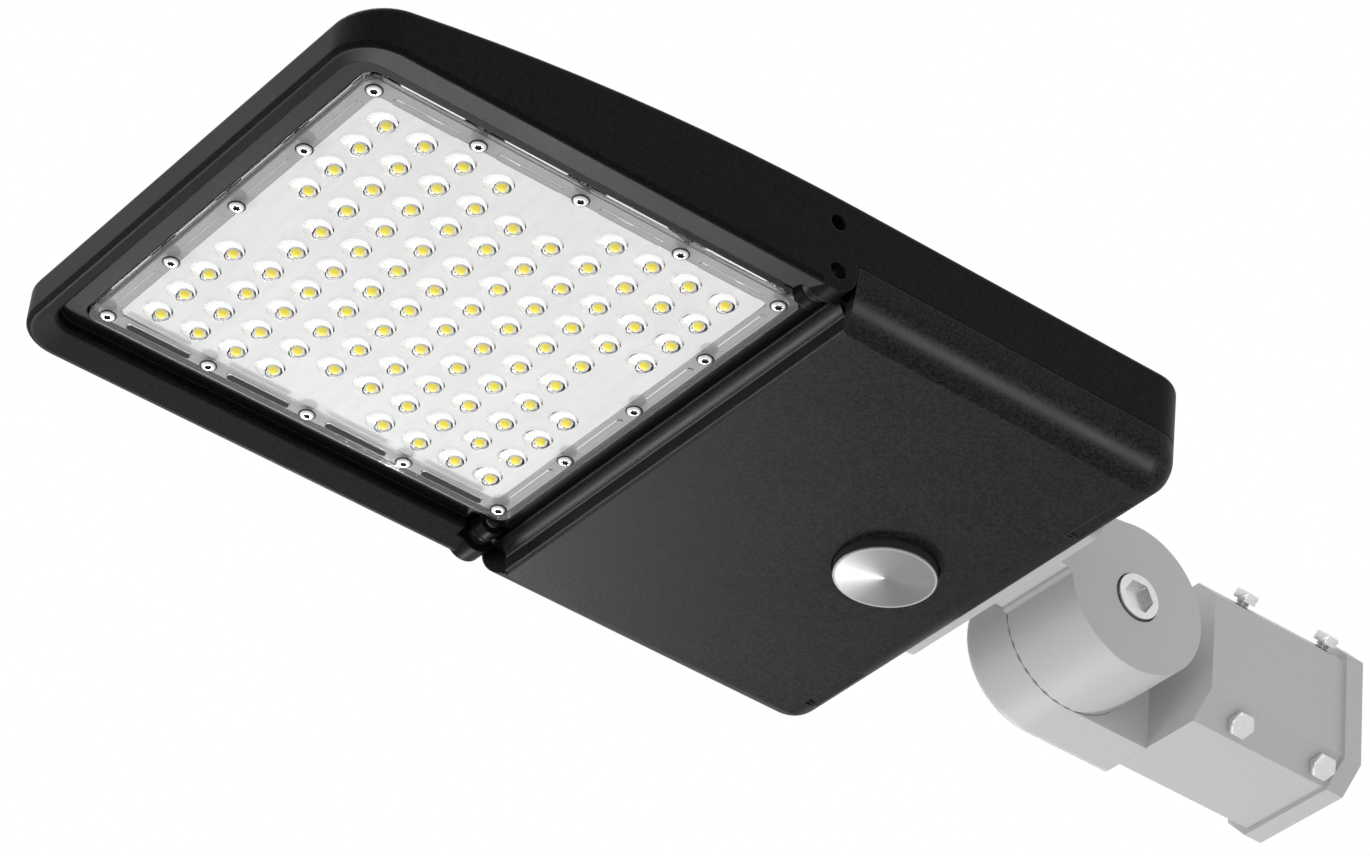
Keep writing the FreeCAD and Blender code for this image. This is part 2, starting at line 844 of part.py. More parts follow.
def make_arm_gasket():
    body = new_body("arm_gasket")
    outline = new_sketch(body, "arm_gasket_outline", "YZ", rear - s.arm_seal)
    reach = s.plate_width / 2 - s.seal_inset
    rounded(outline, s.plate_shift - reach, s.plate_shift + reach,
            split_z + s.seal_inset, s.plate_rise - s.seal_inset, s.plate_round - s.seal_inset)
    for y, z in arm_bolt_places():
        circle(outline, y, z, s.bolt_shank / 2 + s.running_gap)
    circle(outline, s.wire_shift, s.wire_rise, s.wire_hole / 2)
    pad(body, outline, s.arm_seal)
    return body


def make_arm_bolts():
    head_at = rear - s.arm_seal - s.plate_thick
    bite = s.plate_thick + s.arm_seal + s.bay_back - s.rest_gap
    return group("arm_bolts", [
        turned_bolt(f"arm_bolt_{k}", (head_at, y, z), "X", bite)
        for k, (y, z) in enumerate(arm_bolt_places())
    ])


# Head casting
def crown_height(x):
    """Height of the casting's top at a place along X: flat, then an arc falling to the front."""
    run = front.value - step_x.value + s.crown_lead.value
    drop = s.crown_drop.value
    radius = (run * run + drop * drop) / (2 * drop)
    past = max(0.0, x - step_x.value + s.crown_lead.value)
    return crown_z.value - radius + math.sqrt(radius * radius - past * past)


def side_outline(sketch):
    """The head seen from its side, with the crown as one arc tangent to the flat top."""
    crown_x = step_x - s.crown_lead
    points = [(front, front_top), (front, rim_z), (step_x, rim_z), (step_x, split_z),
              (rear, split_z), (rear, crown_z), (crown_x, crown_z)]
    for a, b in zip(points, points[1:]):
        sketch.addGeometry(Part.LineSegment(vector(*a), vector(*b)))
    middle = (front.value + crown_x.value) / 2
    crown = Part.Arc(vector(*points[-1]), Vector(middle, crown_height(middle), 0), vector(*points[0]))
    arc = sketch.addGeometry(crown)
    last = len(points) - 2
    for k in range(last):
        sketch.addConstraint(Sketcher.Constraint("Coincident", k, 2, k + 1, 1))
    for k, point in enumerate(points[:-1]):
        pin(sketch, k, 1, *point)
    pin(sketch, last, 2, *points[-1])
    ends = sorted((1, 2), key=lambda end: sketch.getPoint(arc, end).x)
    sketch.addConstraint(Sketcher.Constraint("Tangent", last, 2, arc, ends[0]))
    sketch.addConstraint(Sketcher.Constraint("Coincident", arc, ends[1], 0, 1))


def on_crown_edge(edge):
    points = samples(edge)
    if not all(abs(p.z - crown_height(p.x)) < 10 * LEVEL for p in points):
        return False
    return max(p.x for p in points) - min(p.x for p in points) > 1 or on_level(edge, "x", rear) \
        or on_level(edge, "x", front)


def bay_screw_places():
    """Screws in the ceiling: four for the driver, two each for the terminal block and the arrester."""
    driver_mid = bay_front - s.driver_gap - s.driver_width / 2
    tab_y = s.driver_length / 2 + s.tab_reach / 2
    for y in (-tab_y, tab_y):
        for x in (driver_mid - s.tab_span / 2, driver_mid + s.tab_span / 2):
            yield x, y
    spare = s.bay_screw_head
    terminal_mid = strike_x + s.terminal_gap + s.terminal_depth / 2
    for side in SIDES:
        yield terminal_mid, (s.terminal_width / 2 + spare / 2) * side - s.terminal_shift
    surge_mid = strike_x + s.terminal_gap + s.surge_width / 2
    for side in SIDES:
        yield surge_mid, (s.surge_length / 2 + spare / 2) * side + s.surge_shift


def earth_place():
    return strike_x + s.terminal_gap * 4, -s.terminal_shift - s.earth_shift / 2 - s.terminal_width / 2


def make_housing():
    body = new_body("housing")
    side = new_sketch(body, "housing_side", "XZ", -half)
    side_outline(side)
    pad(body, side, half * 2)
    round_edges(body, s.front_corner, lambda e: any(upright(e, front, half * k) for k in SIDES))
    round_edges(body, s.rear_corner, lambda e: any(upright(e, rear, half * k) for k in SIDES))
    round_edges(body, s.top_round, on_crown_edge)
    round_edges(body, s.rim_round, lambda e: on_level(e, "z", rim_z) and not on_level(e, "x", step_x))
    cut_bay(body)
    cut_led_recess(body)
    shape_hinges(body)
    cut_small_holes(body)
    fins = new_sketch(body, "fin_slot_outline", "XY", crown_z)
    first = -s.fin_pitch * (s.fin_slots - 1) / 2
    rounded(fins, step_x + s.fin_lead, front - s.fin_setback,
            first - s.fin_slot / 2, first + s.fin_slot / 2, s.fin_slot * 0.45)
    slot = pocket(body, fins, crown_z - deck_z - s.deck_thick, -1)
    repeat(body, slot, "LinearPattern", "Y", s.fin_slots, s.fin_pitch * (s.fin_slots - 1))
    return body


def cut_bay(body):
    """The driver bay, open below, and the lip of its front wall."""
    bay = new_sketch(body, "bay_outline", "XY", split_z)
    rounded(bay, strike_x, bay_front, -half + s.bay_wall, half - s.bay_wall, s.rear_corner - s.bay_wall)
    pocket(body, bay, ceiling - split_z)
    lip = new_sketch(body, "cross_lip_outline", "XY", ledge_z)
    rectangle(lip, step_x - s.cross_lip, step_x + s.back_lip, -boss_inner, boss_inner)
    pad(body, lip, split_z - ledge_z)


def cut_led_recess(body):
    """A bevelled recess with a ledge round the seat of the clear cover."""
    open_end = step_x - s.cross_wall
    rim = new_sketch(body, "rim_outline", "XY", rim_z)
    rounded(rim, open_end, front - s.rim_band, -half + s.rim_band, half - s.rim_band,
            s.rim_band, s.front_corner - s.rim_band)
    inner = new_sketch(body, "bevel_outline", "XY", rim_z + s.bevel_rise)
    rounded(inner, open_end, recess_front, -recess_half, recess_half,
            s.rim_band, s.front_corner - s.rim_band - s.bevel_front)
    bevel = body.newObject("PartDesign::SubtractiveLoft", "rim_bevel")
    bevel.Profile = rim
    bevel.Sections = [inner]
    bevel.Ruled = True
    doc.recompute()
    wall = new_sketch(body, "recess_outline", "XY", rim_z + s.bevel_rise)
    rounded(wall, step_x - s.cross_lip, recess_front, -recess_half, recess_half,
            s.rim_band, s.front_corner - s.rim_band - s.bevel_front)
    pocket(body, wall, ledge_z - rim_z - s.bevel_rise)
    round_edges(body, s.bevel_round, lambda e: on_level(e, "z", rim_z + s.bevel_rise)
                and not on_level(e, "x", step_x))
    seat = new_sketch(body, "cover_seat", "XY", ledge_z)
    rounded(seat, lens_x - pocket_half, lens_x + pocket_half, -pocket_half, pocket_half,
            s.flange_round + s.pocket_gap)
    pocket(body, seat, s.ledge_depth)


def shape_hinges(body):
    """Room for each door arm, an inner boss and an outer lug, with holes for the hinge pins."""
    room_top = split_z - s.seam_line
    room = new_sketch(body, "hinge_room_outline", "XY", rim_z)
    for side in SIDES:
        low, high = sorted((boss_inner * side, lug_inner * side), key=lambda size: size.value)
        rectangle(room, step_x - s.cross_lip, hinge_x + s.hinge_room, low, high)
    pocket(body, room, room_top - rim_z)
    for side in SIDES:
        tag = "left" if side > 0 else "right"
        boss = new_sketch(body, f"{tag}_boss", "XZ", boss_inner * side)
        tab(boss, hinge_x, hinge_z, s.boss_radius, split_z)
        pad(body, boss, s.boss_thick, side)
        heel = new_sketch(body, f"{tag}_lug_heel", "XZ", lug_inner * side)
        rectangle(heel, step_x, hinge_x, rim_z, hinge_z)
        pocket(body, heel, s.lug_thick, side)
        lug = new_sketch(body, f"{tag}_lug", "XZ", lug_inner * side)
        circle(lug, hinge_x, hinge_z, s.lug_radius)
        pad(body, lug, s.lug_thick, side)
        pin_hole = new_sketch(body, f"{tag}_pin_hole", "XZ", half * side)
        circle(pin_hole, hinge_x, hinge_z, s.pin_diameter / 2 + s.running_gap)
        pocket(body, pin_hole, half - boss_inner, -side)
        access = new_sketch(body, f"{tag}_pin_access", "XZ", half * side)
        circle(access, hinge_x, hinge_z, s.lug_hole / 2)
        pocket(body, access, s.pin_recess, -side)
        upper = new_sketch(body, f"{tag}_side_hole", "XZ", half * side)
        circle(upper, hinge_x + s.side_hole_lead, s.side_hole_rise, s.side_hole / 2)
        pocket(body, upper, s.side_hole_depth, -side)


def cut_small_holes(body):
    """Holes for the cover's screws, the bay's screws, the bracket, the latch strike and the wires."""
    cover = new_sketch(body, "cover_screw_holes", "XY", deck_z)
    for x, y in cover_screw_places():
        circle(cover, x, y, s.screw_shank / 2 + s.running_gap)
    pocket(body, cover, s.screw_bite)
    bay = new_sketch(body, "bay_screw_holes", "XY", ceiling)
    for x, y in [*bay_screw_places(), earth_place()]:
        circle(bay, x, y, s.bay_screw / 2 + s.running_gap)
    pocket(body, bay, s.bay_screw_bite)
    back = new_sketch(body, "bracket_holes", "YZ", rear)
    for y, z in arm_bolt_places():
        circle(back, y, z, s.bolt_shank / 2 + s.running_gap)
    circle(back, s.wire_shift, s.wire_rise, s.wire_hole / 2 + s.running_gap)
    pocket(body, back, s.bay_back)
    strike = new_sketch(body, "strike_screw_holes", "YZ", strike_x)
    for side in SIDES:
        circle(strike, s.strike_screw_span / 2 * side, s.strike_screw_rise,
               s.screw_shank / 2 + s.running_gap)
    pocket(body, strike, s.strike_bite, -1)
    duct = new_sketch(body, "lead_duct_hole", "YZ", bay_front)
    circle(duct, ZERO, s.lead_rise, s.lead_duct / 2)
    pocket(body, duct, s.cross_wall + s.lead_reach)
    drop = new_sketch(body, "lead_drop_hole", "XY", deck_z)
    circle(drop, step_x + s.lead_reach, ZERO, s.lead_drop / 2)
    pocket(body, drop, s.lead_rise + s.lead_duct / 8 - deck_z)


# LED array
def make_led_board():
    body = new_body("led_board")
    outline = new_sketch(body, "board_outline", "XY", board_z)
    rounded(outline, lens_x - board_half, lens_x + board_half, -board_half, board_half, s.led_chip)
    pad(body, outline, s.board_thick)
    return body


def make_led_chips():
    side = s.led_chip.value
    chips = [
        Part.makeBox(side, side, s.led_height.value,
                     Vector(x.value - side / 2, y.value - side / 2, chip_z.value))
        for x, y in led_places()
    ]
    return feature("led_chips", Part.makeCompound(chips))


def rounded_block(half_x, half_y, z0, z1, radius):
    """A block about the LED array's middle with rounded upright edges."""
    block = Part.makeBox(2 * half_x, 2 * half_y, z1 - z0,
                         Vector(lens_x.value - half_x, -half_y, z0))
    return block.makeFillet(radius, [e for e in block.Edges if abs(e.tangentAt(0).z) > 0.5])


def sphere_cap(x, y, level, radius, rise, root):
    """The cap of a sphere below a level, with a short root above it."""
    ball = (radius ** 2 + rise ** 2) / (2 * rise)
    sphere = Part.makeSphere(ball, Vector(x, y, level - rise + ball))
    keep = Part.makeBox(2 * ball, 2 * ball, rise + root, Vector(x - ball, y - ball, level - rise))
    return sphere.common(keep)


def dome(x, y):
    """A lens that stands out below the cover, set off to one side of its LED."""
    return sphere_cap(x + s.dome_shift_x.value, y + s.dome_shift_y.value, cover_z.value,
                      s.dome_radius.value, s.dome_height.value, s.cover_skin.value / 2)


def dome_hollow(x, y):
    """The hollow in the cover's inner face over an LED."""
    return sphere_cap(x, y, cover_in.value, s.hollow_radius.value, s.hollow_height.value,
                      s.cover_gap.value / 2)


def bar(x, y, along_x):
    """A raised bar with round ends between two cover screws."""
    length = s.bar_length.value
    width = s.bar_width.value
    size_x, size_y = (length, width) if along_x else (width, length)
    low = cover_z.value - s.bar_height.value
    block = Part.makeBox(size_x, size_y, s.bar_height.value + s.cover_skin.value / 2,
                         Vector(x - size_x / 2, y - size_y / 2, low))
    return block.makeFillet(0.49 * width, [e for e in block.Edges if abs(e.tangentAt(0).z) > 0.5])


def make_lens_plate():
    reach = cover_half.value
    plate = rounded_block(reach, reach, cover_z.value, flange_in.value, s.flange_round.value)
    field = board_half.value + s.cover_gap.value
    hollow = rounded_block(field, field, cover_in.value, flange_in.value, s.led_chip.value)
    holes = [
        Part.makeCylinder(s.screw_shank.value / 2 + s.running_gap.value, flange_in.value - cover_z.value,
                          Vector(x.value, y.value, cover_z.value))
        for x, y in cover_screw_places()
    ]
    plate = plate.cut([hollow, *holes])
    raised = [dome(x.value, y.value) for x, y in led_places()]
    raised += [bar(x.value, y.value, along_x) for x, y, along_x in bar_places()]
    hollows = [dome_hollow(x.value, y.value) for x, y in led_places()]
    return feature("lens_plate", plate.fuse(raised).removeSplitter().cut(hollows))


def make_lens_gasket():
    body = new_body("lens_gasket")
    ring = new_sketch(body, "lens_gasket_outline", "XY", flange_in)
    inner = board_half + s.cover_gap
    outer = inner + s.seal_width
    rounded(ring, lens_x - outer, lens_x + outer, -outer, outer, s.flange_round)
    rounded(ring, lens_x - inner, lens_x + inner, -inner, inner, s.led_chip)
    for x, y in cover_screw_places():
        circle(ring, x, y, s.screw_shank / 2 + s.running_gap)
    pad(body, ring, s.lens_seal)
    return body


def make_lens_screws():
    bite = s.screw_bite + deck_z - cover_z
    return group("lens_screws", [
        screw(f"lens_screw_{k}", (x, y, cover_z), "Z", s.screw_shank, bite, s.screw_head, s.screw_head_height)
        for k, (x, y) in enumerate(cover_screw_places())
    ])


# Driver bay contents, hung from its ceiling
def make_driver():
    x1 = bay_front - s.driver_gap
    x0 = x1 - s.driver_width
    reach = s.driver_length / 2
    case = box("driver_case", x0, x1, -reach, reach, ceiling - s.driver_height, ceiling)
    soft = doc.addObject("Part::Fillet", "driver_case_round")
    soft.Base = case
    doc.recompute()
    radius = s.driver_round.value
    soft.Edges = [(k, radius, radius) for k in range(1, len(case.Shape.Edges) + 1)]
    low = ceiling - s.tab_thick
    middle = (x0 + x1) / 2
    spread = s.tab_span / 2 + s.bay_screw_head
    tabs = box("driver_tabs", middle - spread, middle + spread,
               -reach - s.tab_reach, reach + s.tab_reach, low, ceiling)
    holes = [
        rod(f"driver_tab_hole_{k}", s.bay_screw / 2 + s.running_gap, s.tab_thick, (x, y, low), "Z")
        for k, (x, y) in enumerate(list(bay_screw_places())[:4])
    ]
    return cut("driver", fuse("driver_blank", soft, tabs), *holes)


def ceiling_block(label, x0, width, y_mid, length, height, screw_places):
    """A block hung from the ceiling by a thin foot that its two screws pass through."""
    spare = s.bay_screw_head
    block = box(f"{label}_block", x0, x0 + width, y_mid - length / 2, y_mid + length / 2,
                ceiling - height, ceiling)
    foot = box(f"{label}_foot", x0 + width / 2 - spare / 2, x0 + width / 2 + spare / 2,
               y_mid - length / 2 - spare, y_mid + length / 2 + spare, ceiling - s.tab_thick, ceiling)
    holes = [
        rod(f"{label}_hole_{k}", s.bay_screw / 2 + s.running_gap, s.tab_thick,
            (x, y, ceiling - s.tab_thick), "Z")
        for k, (x, y) in enumerate(screw_places)
    ]
    return cut(label, fuse(f"{label}_blank", block, foot), *holes)


def make_terminal_block():
    return ceiling_block("terminal_block", strike_x + s.terminal_gap, s.terminal_depth, -s.terminal_shift,
                         s.terminal_width, s.terminal_height, list(bay_screw_places())[4:6])


def make_surge_protector():
    return ceiling_block("surge_protector", strike_x + s.terminal_gap, s.surge_width, s.surge_shift,
                         s.surge_length, s.surge_height, list(bay_screw_places())[6:8])


def bay_screw(name, x, y, seat):
    bite = s.bay_screw_bite + ceiling - seat
    return screw(name, (x, y, seat), "Z", s.bay_screw, bite, s.bay_screw_head, s.bay_screw_head_height)


def make_bay_screws():
    seat = ceiling - s.tab_thick
    return group("bay_screws", [
        bay_screw(f"bay_screw_{k}", x, y, seat) for k, (x, y) in enumerate(bay_screw_places())
    ])


def make_earth_screw():
    return bay_screw("earth_screw", *earth_place(), ceiling)


def tube(points, radius, bend):
    """A round tube along straight runs joined by tangent arcs of one radius."""
    edges = []
    start = points[0]
    for before, corner, after in zip(points, points[1:], points[2:]):
        back = (before - corner).normalize()
        on = (after - corner).normalize()
        half_turn = (math.pi - back.getAngle(on)) / 2
        setback = bend * math.tan(half_turn)
        a = corner + back * setback
        b = corner + on * setback
        inward = (back + on).normalize()
        middle = corner + inward * (bend / math.cos(half_turn) - bend)
        edges.append(Part.LineSegment(start, a).toShape())
        edges.append(Part.Arc(a, middle, b).toShape())
        start = b
    edges.append(Part.LineSegment(start, points[-1]).toShape())
    path = Part.Wire(edges)
    ring = Part.Wire(Part.Circle(points[0], points[1] - points[0], radius).toShape())
    solid = path.makePipeShell([ring], True, False)
    expected = math.pi * radius ** 2 * path.Length
    print(f"tube: bend {bend:.1f} mm, volume {solid.Volume:.1f} of {expected:.1f} mm3")
    return solid


def make_led_lead():
    """From the driver's front through the cast duct, down to the back of the LED board."""
    z = s.lead_rise.value
    corner = Vector(step_x.value + s.lead_reach.value, 0, z)
    points = [Vector((bay_front - s.driver_gap).value, 0, z), corner, Vector(corner.x, 0, deck_z.value)]
    return feature("led_lead", tube(points, s.lead_diameter.value / 2, s.lead_bend.value))


def make_input_lead():
    """From the terminal block to the driver's rear."""
    z = s.input_rise.value
    start = (strike_x + s.terminal_gap + s.terminal_depth).value
    end = (bay_front - s.driver_gap - s.driver_width).value
    y0 = -s.terminal_shift.value
    y1 = y0 + s.input_shift.value
    third = (end - start) / 3
    points = [Vector(start, y0, z), Vector(start + third, y0, z),
              Vector(end - third, y1, z), Vector(end, y1, z)]
    bend = 0.45 * third / math.tan(math.atan2(y1 - y0, third) / 2)
    return feature("input_lead", tube(points, s.lead_diameter.value / 2, bend))


def make_wire_grommet():
    at = (rear, s.wire_shift, s.wire_rise)
    flange_at = (strike_x, s.wire_shift, s.wire_rise)
    sleeve = rod("grommet_sleeve", s.wire_hole / 2, s.bay_back, at, "X")
    flange = rod("grommet_flange_disc", s.grommet_flange, s.grommet_lip, flange_at, "X")
    hole = rod("grommet_hole", s.grommet_bore / 2, s.bay_back + s.grommet_lip, at, "X")
    return cut("wire_grommet", fuse("grommet_blank", sleeve, flange), hole)


# Hinges and door
def make_hinge_pins():
    length = half - s.pin_recess - boss_inner
    return group("hinge_pins", [
        rod(f"hinge_pin_{k}", s.pin_diameter / 2, length, (hinge_x, boss_inner * side, hinge_z),
            "Y" if side > 0 else "-Y")
        for k, side in enumerate(SIDES)
    ])


def door_section(sketch):
    """The door seen along X: a flat underside with a bull-nosed flank each side."""
    points = [(-half, door_top), (-half, -s.bull_drop), (-flat_half, door_z),
              (flat_half, door_z), (half, -s.bull_drop), (half, door_top)]
    lines = [(0, 1), (2, 3), (4, 5), (5, 0)]
    for a, b in lines:
        sketch.addGeometry(Part.LineSegment(vector(*points[a]), vector(*points[b])))
    fall = -s.bull_drop - door_z
    radius = ((fall * fall + s.flat_inset * s.flat_inset) / (s.flat_inset * 2)).value
    lean = math.asin(fall.value / radius)
    for side, spread in ((-1, (math.pi, math.pi + lean)), (1, (2 * math.pi - lean, 2 * math.pi))):
        middle = Vector(side * (half.value - radius), -s.bull_drop.value, 0)
        bull = Part.Circle(middle, Vector(0, 0, 1), radius)
        sketch.addGeometry(Part.ArcOfCircle(bull, *spread))
    for geo, point, corner in ((0, 1, 0), (0, 2, 1), (1, 1, 2), (1, 2, 3), (2, 1, 4), (2, 2, 5)):
        pin(sketch, geo, point, *points[corner])
    joints = [("Tangent", 0, 2, 4, 1), ("Coincident", 4, 2, 1, 1), ("Coincident", 1, 2, 5, 1),
              ("Tangent", 2, 1, 5, 2), ("Coincident", 2, 2, 3, 1), ("Coincident", 3, 2, 0, 1)]
    for joint in joints:
        sketch.addConstraint(Sketcher.Constraint(*joint))


def make_door():
    body = new_body("door")
    section = new_sketch(body, "door_section_outline", "YZ", rear)
    door_section(section)
    pad(body, section, door_nose - rear)
    round_edges(body, s.crease_round, lambda e: on_level(e, "z", door_z)
                and any(on_level(e, "y", flat_half * k) for k in SIDES))
    beyond = door_nose + s.lug_radius
    face = new_sketch(body, "door_front_outline", "XY", door_z)
    polygon(face, [(door_front, -flat_half), (door_nose, -half), (beyond, -half),
                   (beyond, half), (door_nose, half), (door_front, flat_half)])
    pocket(body, face, door_top - door_z)
    round_edges(body, s.rear_corner, lambda e: on_level(e, "x", rear) and not on_level(e, "z", door_top))
    shape_front_lip(body)
    hollow_door(body)
    shape_button_seat(body)
    shape_door_arms(body)
    notches = new_sketch(body, "notch_outline", "XY", door_z)
    for side in SIDES:
        low, high = sorted((s.notch_inner * side, (s.notch_inner + s.notch_width) * side),
                           key=lambda size: size.value)
        rectangle(notches, rear - s.notch_reach, rear + s.notch_reach, low, high)
    pocket(body, notches, s.notch_depth)
    slits = new_sketch(body, "notch_slit_outline", "XY", door_z)
    for side in SIDES:
        low, high = sorted((s.notch_inner * side, (s.notch_inner + s.notch_width) * side),
                           key=lambda size: size.value)
        rectangle(slits, rear + s.notch_reach - s.notch_slit, rear + s.notch_reach, low, high)
    pocket(body, slits, s.notch_slit_depth)
    groove = new_sketch(body, "seal_groove_outline", "XY", door_top)
    seal_ring(groove, s.running_gap)
    pocket(body, groove, s.door_seal_depth, -1)
    return body


def shape_front_lip(body):
    """A broken edge below, and a coved lip on top that hides the joint with the casting."""
    spare = s.running_gap
    edge = new_sketch(body, "front_chamfer_outline", "XZ", -flat_half)
    polygon(edge, [(door_front - s.front_chamfer, door_z - spare), (door_front + spare, door_z - spare),
                   (door_front + spare, door_z + s.front_chamfer)])
    pocket(body, edge, flat_half * 2)
    top = ledge_z - s.front_lip_gap
    lip = new_sketch(body, "front_lip_outline", "XZ", -flat_half)
    rectangle(lip, door_front - s.door_wall / 2, door_front + s.front_lip, top - s.front_lip_drop, top)
    pad(body, lip, flat_half * 2)
    cove = new_sketch(body, "front_cove", "XZ", -flat_half)
    circle(cove, door_front + s.cove_radius + s.running_gap, top - s.cove_drop, s.cove_radius)
    pocket(body, cove, flat_half * 2)


def hollow_door(body):
    """Three hollows, each deeper and narrower, that follow the rounded outside."""
    inner_front = door_front - s.bay_wall
    tiers = [
        ("door_upper", rear + s.bay_wall, half - s.bay_wall, door_top, -s.shelf_drop),
        ("door_middle", rear + s.bay_wall, flat_half + s.door_wall, -s.shelf_drop, -s.trough_drop),
        ("door_lower", rear + s.rear_corner + s.door_wall / 2, flat_half, -s.trough_drop, door_floor),
    ]
    for name, x0, reach, top, bottom in tiers:
        outline = new_sketch(body, name, "XY", top)
        rounded(outline, x0, inner_front, -reach, reach, s.rear_corner - s.bay_wall, s.door_wall)
        pocket(body, outline, top - bottom, -1)


def shape_button_seat(body):
    """A boss inside the floor, with a recess for the button below and a bore for its stem."""
    well = s.button_radius + s.button_gap
    boss = new_sketch(body, "button_boss", "XY", door_floor)
    circle(boss, button_x, ZERO, well + s.boss_ring)
    pad(body, boss, boss_top - door_floor)
    recess = new_sketch(body, "button_recess", "XY", door_z)
    circle(recess, button_x, ZERO, well)
    pocket(body, recess, button_roof - door_z)
    bore = new_sketch(body, "stem_bore", "XY", button_roof)
    circle(bore, button_x, ZERO, s.stem_radius + s.running_gap)
    pocket(body, bore, s.boss_roof)
    holes = new_sketch(body, "guide_screw_holes", "XY", boss_top)
    for x, y in guide_screw_places():
        circle(holes, x, y, s.guide_screw / 2 + s.running_gap)
    pocket(body, holes, s.guide_bite, -1)


def shape_door_arms(body):
    """A thin arm each side with a knuckle that turns on the hinge pin."""
    for side in SIDES:
        tag = "left" if side > 0 else "right"
        arm = new_sketch(body, f"{tag}_arm", "XZ", arm_inner * side)
        rectangle(arm, door_front - s.door_wall, hinge_x,
                  hinge_z - s.knuckle_radius / 2, hinge_z + s.knuckle_radius / 2)
        pad(body, arm, s.arm_thick, side)
        knuckle = new_sketch(body, f"{tag}_knuckle", "XZ", arm_inner * side)
        circle(knuckle, hinge_x, hinge_z, s.knuckle_radius)
        pad(body, knuckle, s.arm_thick, side)
        eye = new_sketch(body, f"{tag}_eye", "XZ", arm_inner * side)
        circle(eye, hinge_x, hinge_z, s.pin_diameter / 2 + s.running_gap)
        pocket(body, eye, s.arm_thick, side)


def seal_ring(sketch, spread):
    """The closed band of the door's seal, wider by a clearance each side."""
    for inset, grow in ((s.seal_edge, spread), (s.seal_edge + s.door_seal, -as_size(spread))):
        rounded(sketch, rear + inset - grow, door_front - inset + grow,
                -half + inset - grow, half - inset + grow,
                s.rear_corner - inset + grow, s.door_wall - s.running_gap)


def make_door_gasket():
    body = new_body("door_gasket")
    ring = new_sketch(body, "door_gasket_outline", "XY", door_top - s.door_seal_depth)
    seal_ring(ring, ZERO)
    pad(body, ring, s.door_seal_depth + s.seam_line - s.rest_gap)
    return body


# Press button and latch
def make_button_cap():
    """A spun metal cup, its face dished a little to a point in the middle."""
    body = new_body("button_cap")
    profile = new_sketch(body, "button_profile", "XZ")
    inner = s.button_radius - s.button_skin
    polygon(profile, [
        (ZERO, s.button_dish), (s.button_radius, ZERO), (s.button_radius, s.button_height),
        (inner, s.button_height), (inner, s.button_skin), (ZERO, s.button_skin),
    ])
    turn = body.newObject("PartDesign::Revolution", "button_spin")
    turn.Profile = profile
    turn.ReferenceAxis = (profile, ["V_Axis"])
    turn.Angle = 360
    doc.recompute()
    round_edges(body, s.button_round, lambda e: on_level(e, "z", ZERO) and e.Length > 1)
    place(body, button_x, ZERO, button_face)
    return body


def make_button_stem():
    """A shaft on a foot, with a wedge block that pushes the latch slide forwards."""
    foot_z = button_face + s.button_skin
    foot = rod("stem_foot_disc", s.stem_foot, s.stem_foot_height, (button_x, ZERO, foot_z), "Z")
    shaft = rod("stem_shaft", s.stem_radius, slide_z - foot_z, (button_x, ZERO, foot_z), "Z")
    block = new_body("stem_wedge")
    side = new_sketch(block, "stem_wedge_outline", "XZ", -s.wedge_half)
    polygon(side, [(button_x - s.wedge_back, slide_z), (wedge_line(slide_z), slide_z),
                   (wedge_line(s.wedge_top), s.wedge_top), (button_x - s.wedge_back, s.wedge_top)])
    pad(block, side, s.wedge_half * 2)
    return fuse("button_stem", foot, shaft, block)


def wedge_line(z):
    """Where the wedge's 45 degree face lies along X at a height."""
    return button_x + s.stem_radius + slide_z - z


def make_button_spring():
    """A wire coil between the button's cup and the roof of its recess."""
    wire = s.spring_wire.value / 2
    radius = s.spring_radius.value
    low = (button_face + s.button_skin + s.rest_gap).value + wire
    high = button_roof.value - wire
    quarters = 4 * int(SIZES["spring_turns"])
    rise = (high - low) / quarters

    def at(step):
        turn = step * math.pi / 2
        return Vector(button_x.value + radius * math.cos(turn), radius * math.sin(turn), low + rise * step)

    path = Part.Wire([Part.Arc(at(k), at(k + 0.5), at(k + 1)).toShape() for k in range(quarters)])
    first = path.Edges[0]
    ring = Part.Wire(Part.Circle(at(0), first.tangentAt(first.FirstParameter), wire).toShape())
    print(f"button spring: gap between turns {rise * 4 - 2 * wire:.2f} mm")
    return feature("button_spring", path.makePipeShell([ring], True, False))


def make_latch_slide():
    """A flat bolt with a window for the wedge; its tongue points at the strike."""
    body = new_body("latch_slide")
    tip = strike_face + s.rest_gap
    shoulder = button_x - s.guide_first - s.guide_width - s.button_travel - s.rest_gap
    plan = new_sketch(body, "slide_plan", "XY", slide_z)
    end = button_x + s.slide_front
    polygon(plan, [(tip, -s.tongue_half), (shoulder, -s.tongue_half), (shoulder, -s.slide_half),
                   (end, -s.slide_half), (end, s.slide_half), (shoulder, s.slide_half),
                   (shoulder, s.tongue_half), (tip, s.tongue_half)])
    pad(body, plan, s.slide_thick)
    room = s.wedge_half + s.window_gap
    slack = s.rest_gap * math.sqrt(2)
    back = button_x - s.wedge_back - s.button_travel - s.window_gap
    window = new_sketch(body, "slide_window", "XZ", -room)
    polygon(window, [(back, slide_z - 1), (wedge_line(slide_z - 1) + slack, slide_z - 1),
                     (wedge_line(slide_top + 1) + slack, slide_top + 1), (back, slide_top + 1)])
    pocket(body, window, room * 2)
    return body


def guide_places():
    """The X spans of the two bridges over the slide."""
    for start in (-s.guide_first - s.guide_width, s.guide_first):
        yield button_x + start, button_x + start + s.guide_width


def guide_screw_places():
    foot_mid = s.slide_half + s.rest_gap + s.guide_foot / 2
    for x0, x1 in guide_places():
        for side in SIDES:
            yield (x0 + x1) / 2, foot_mid * side


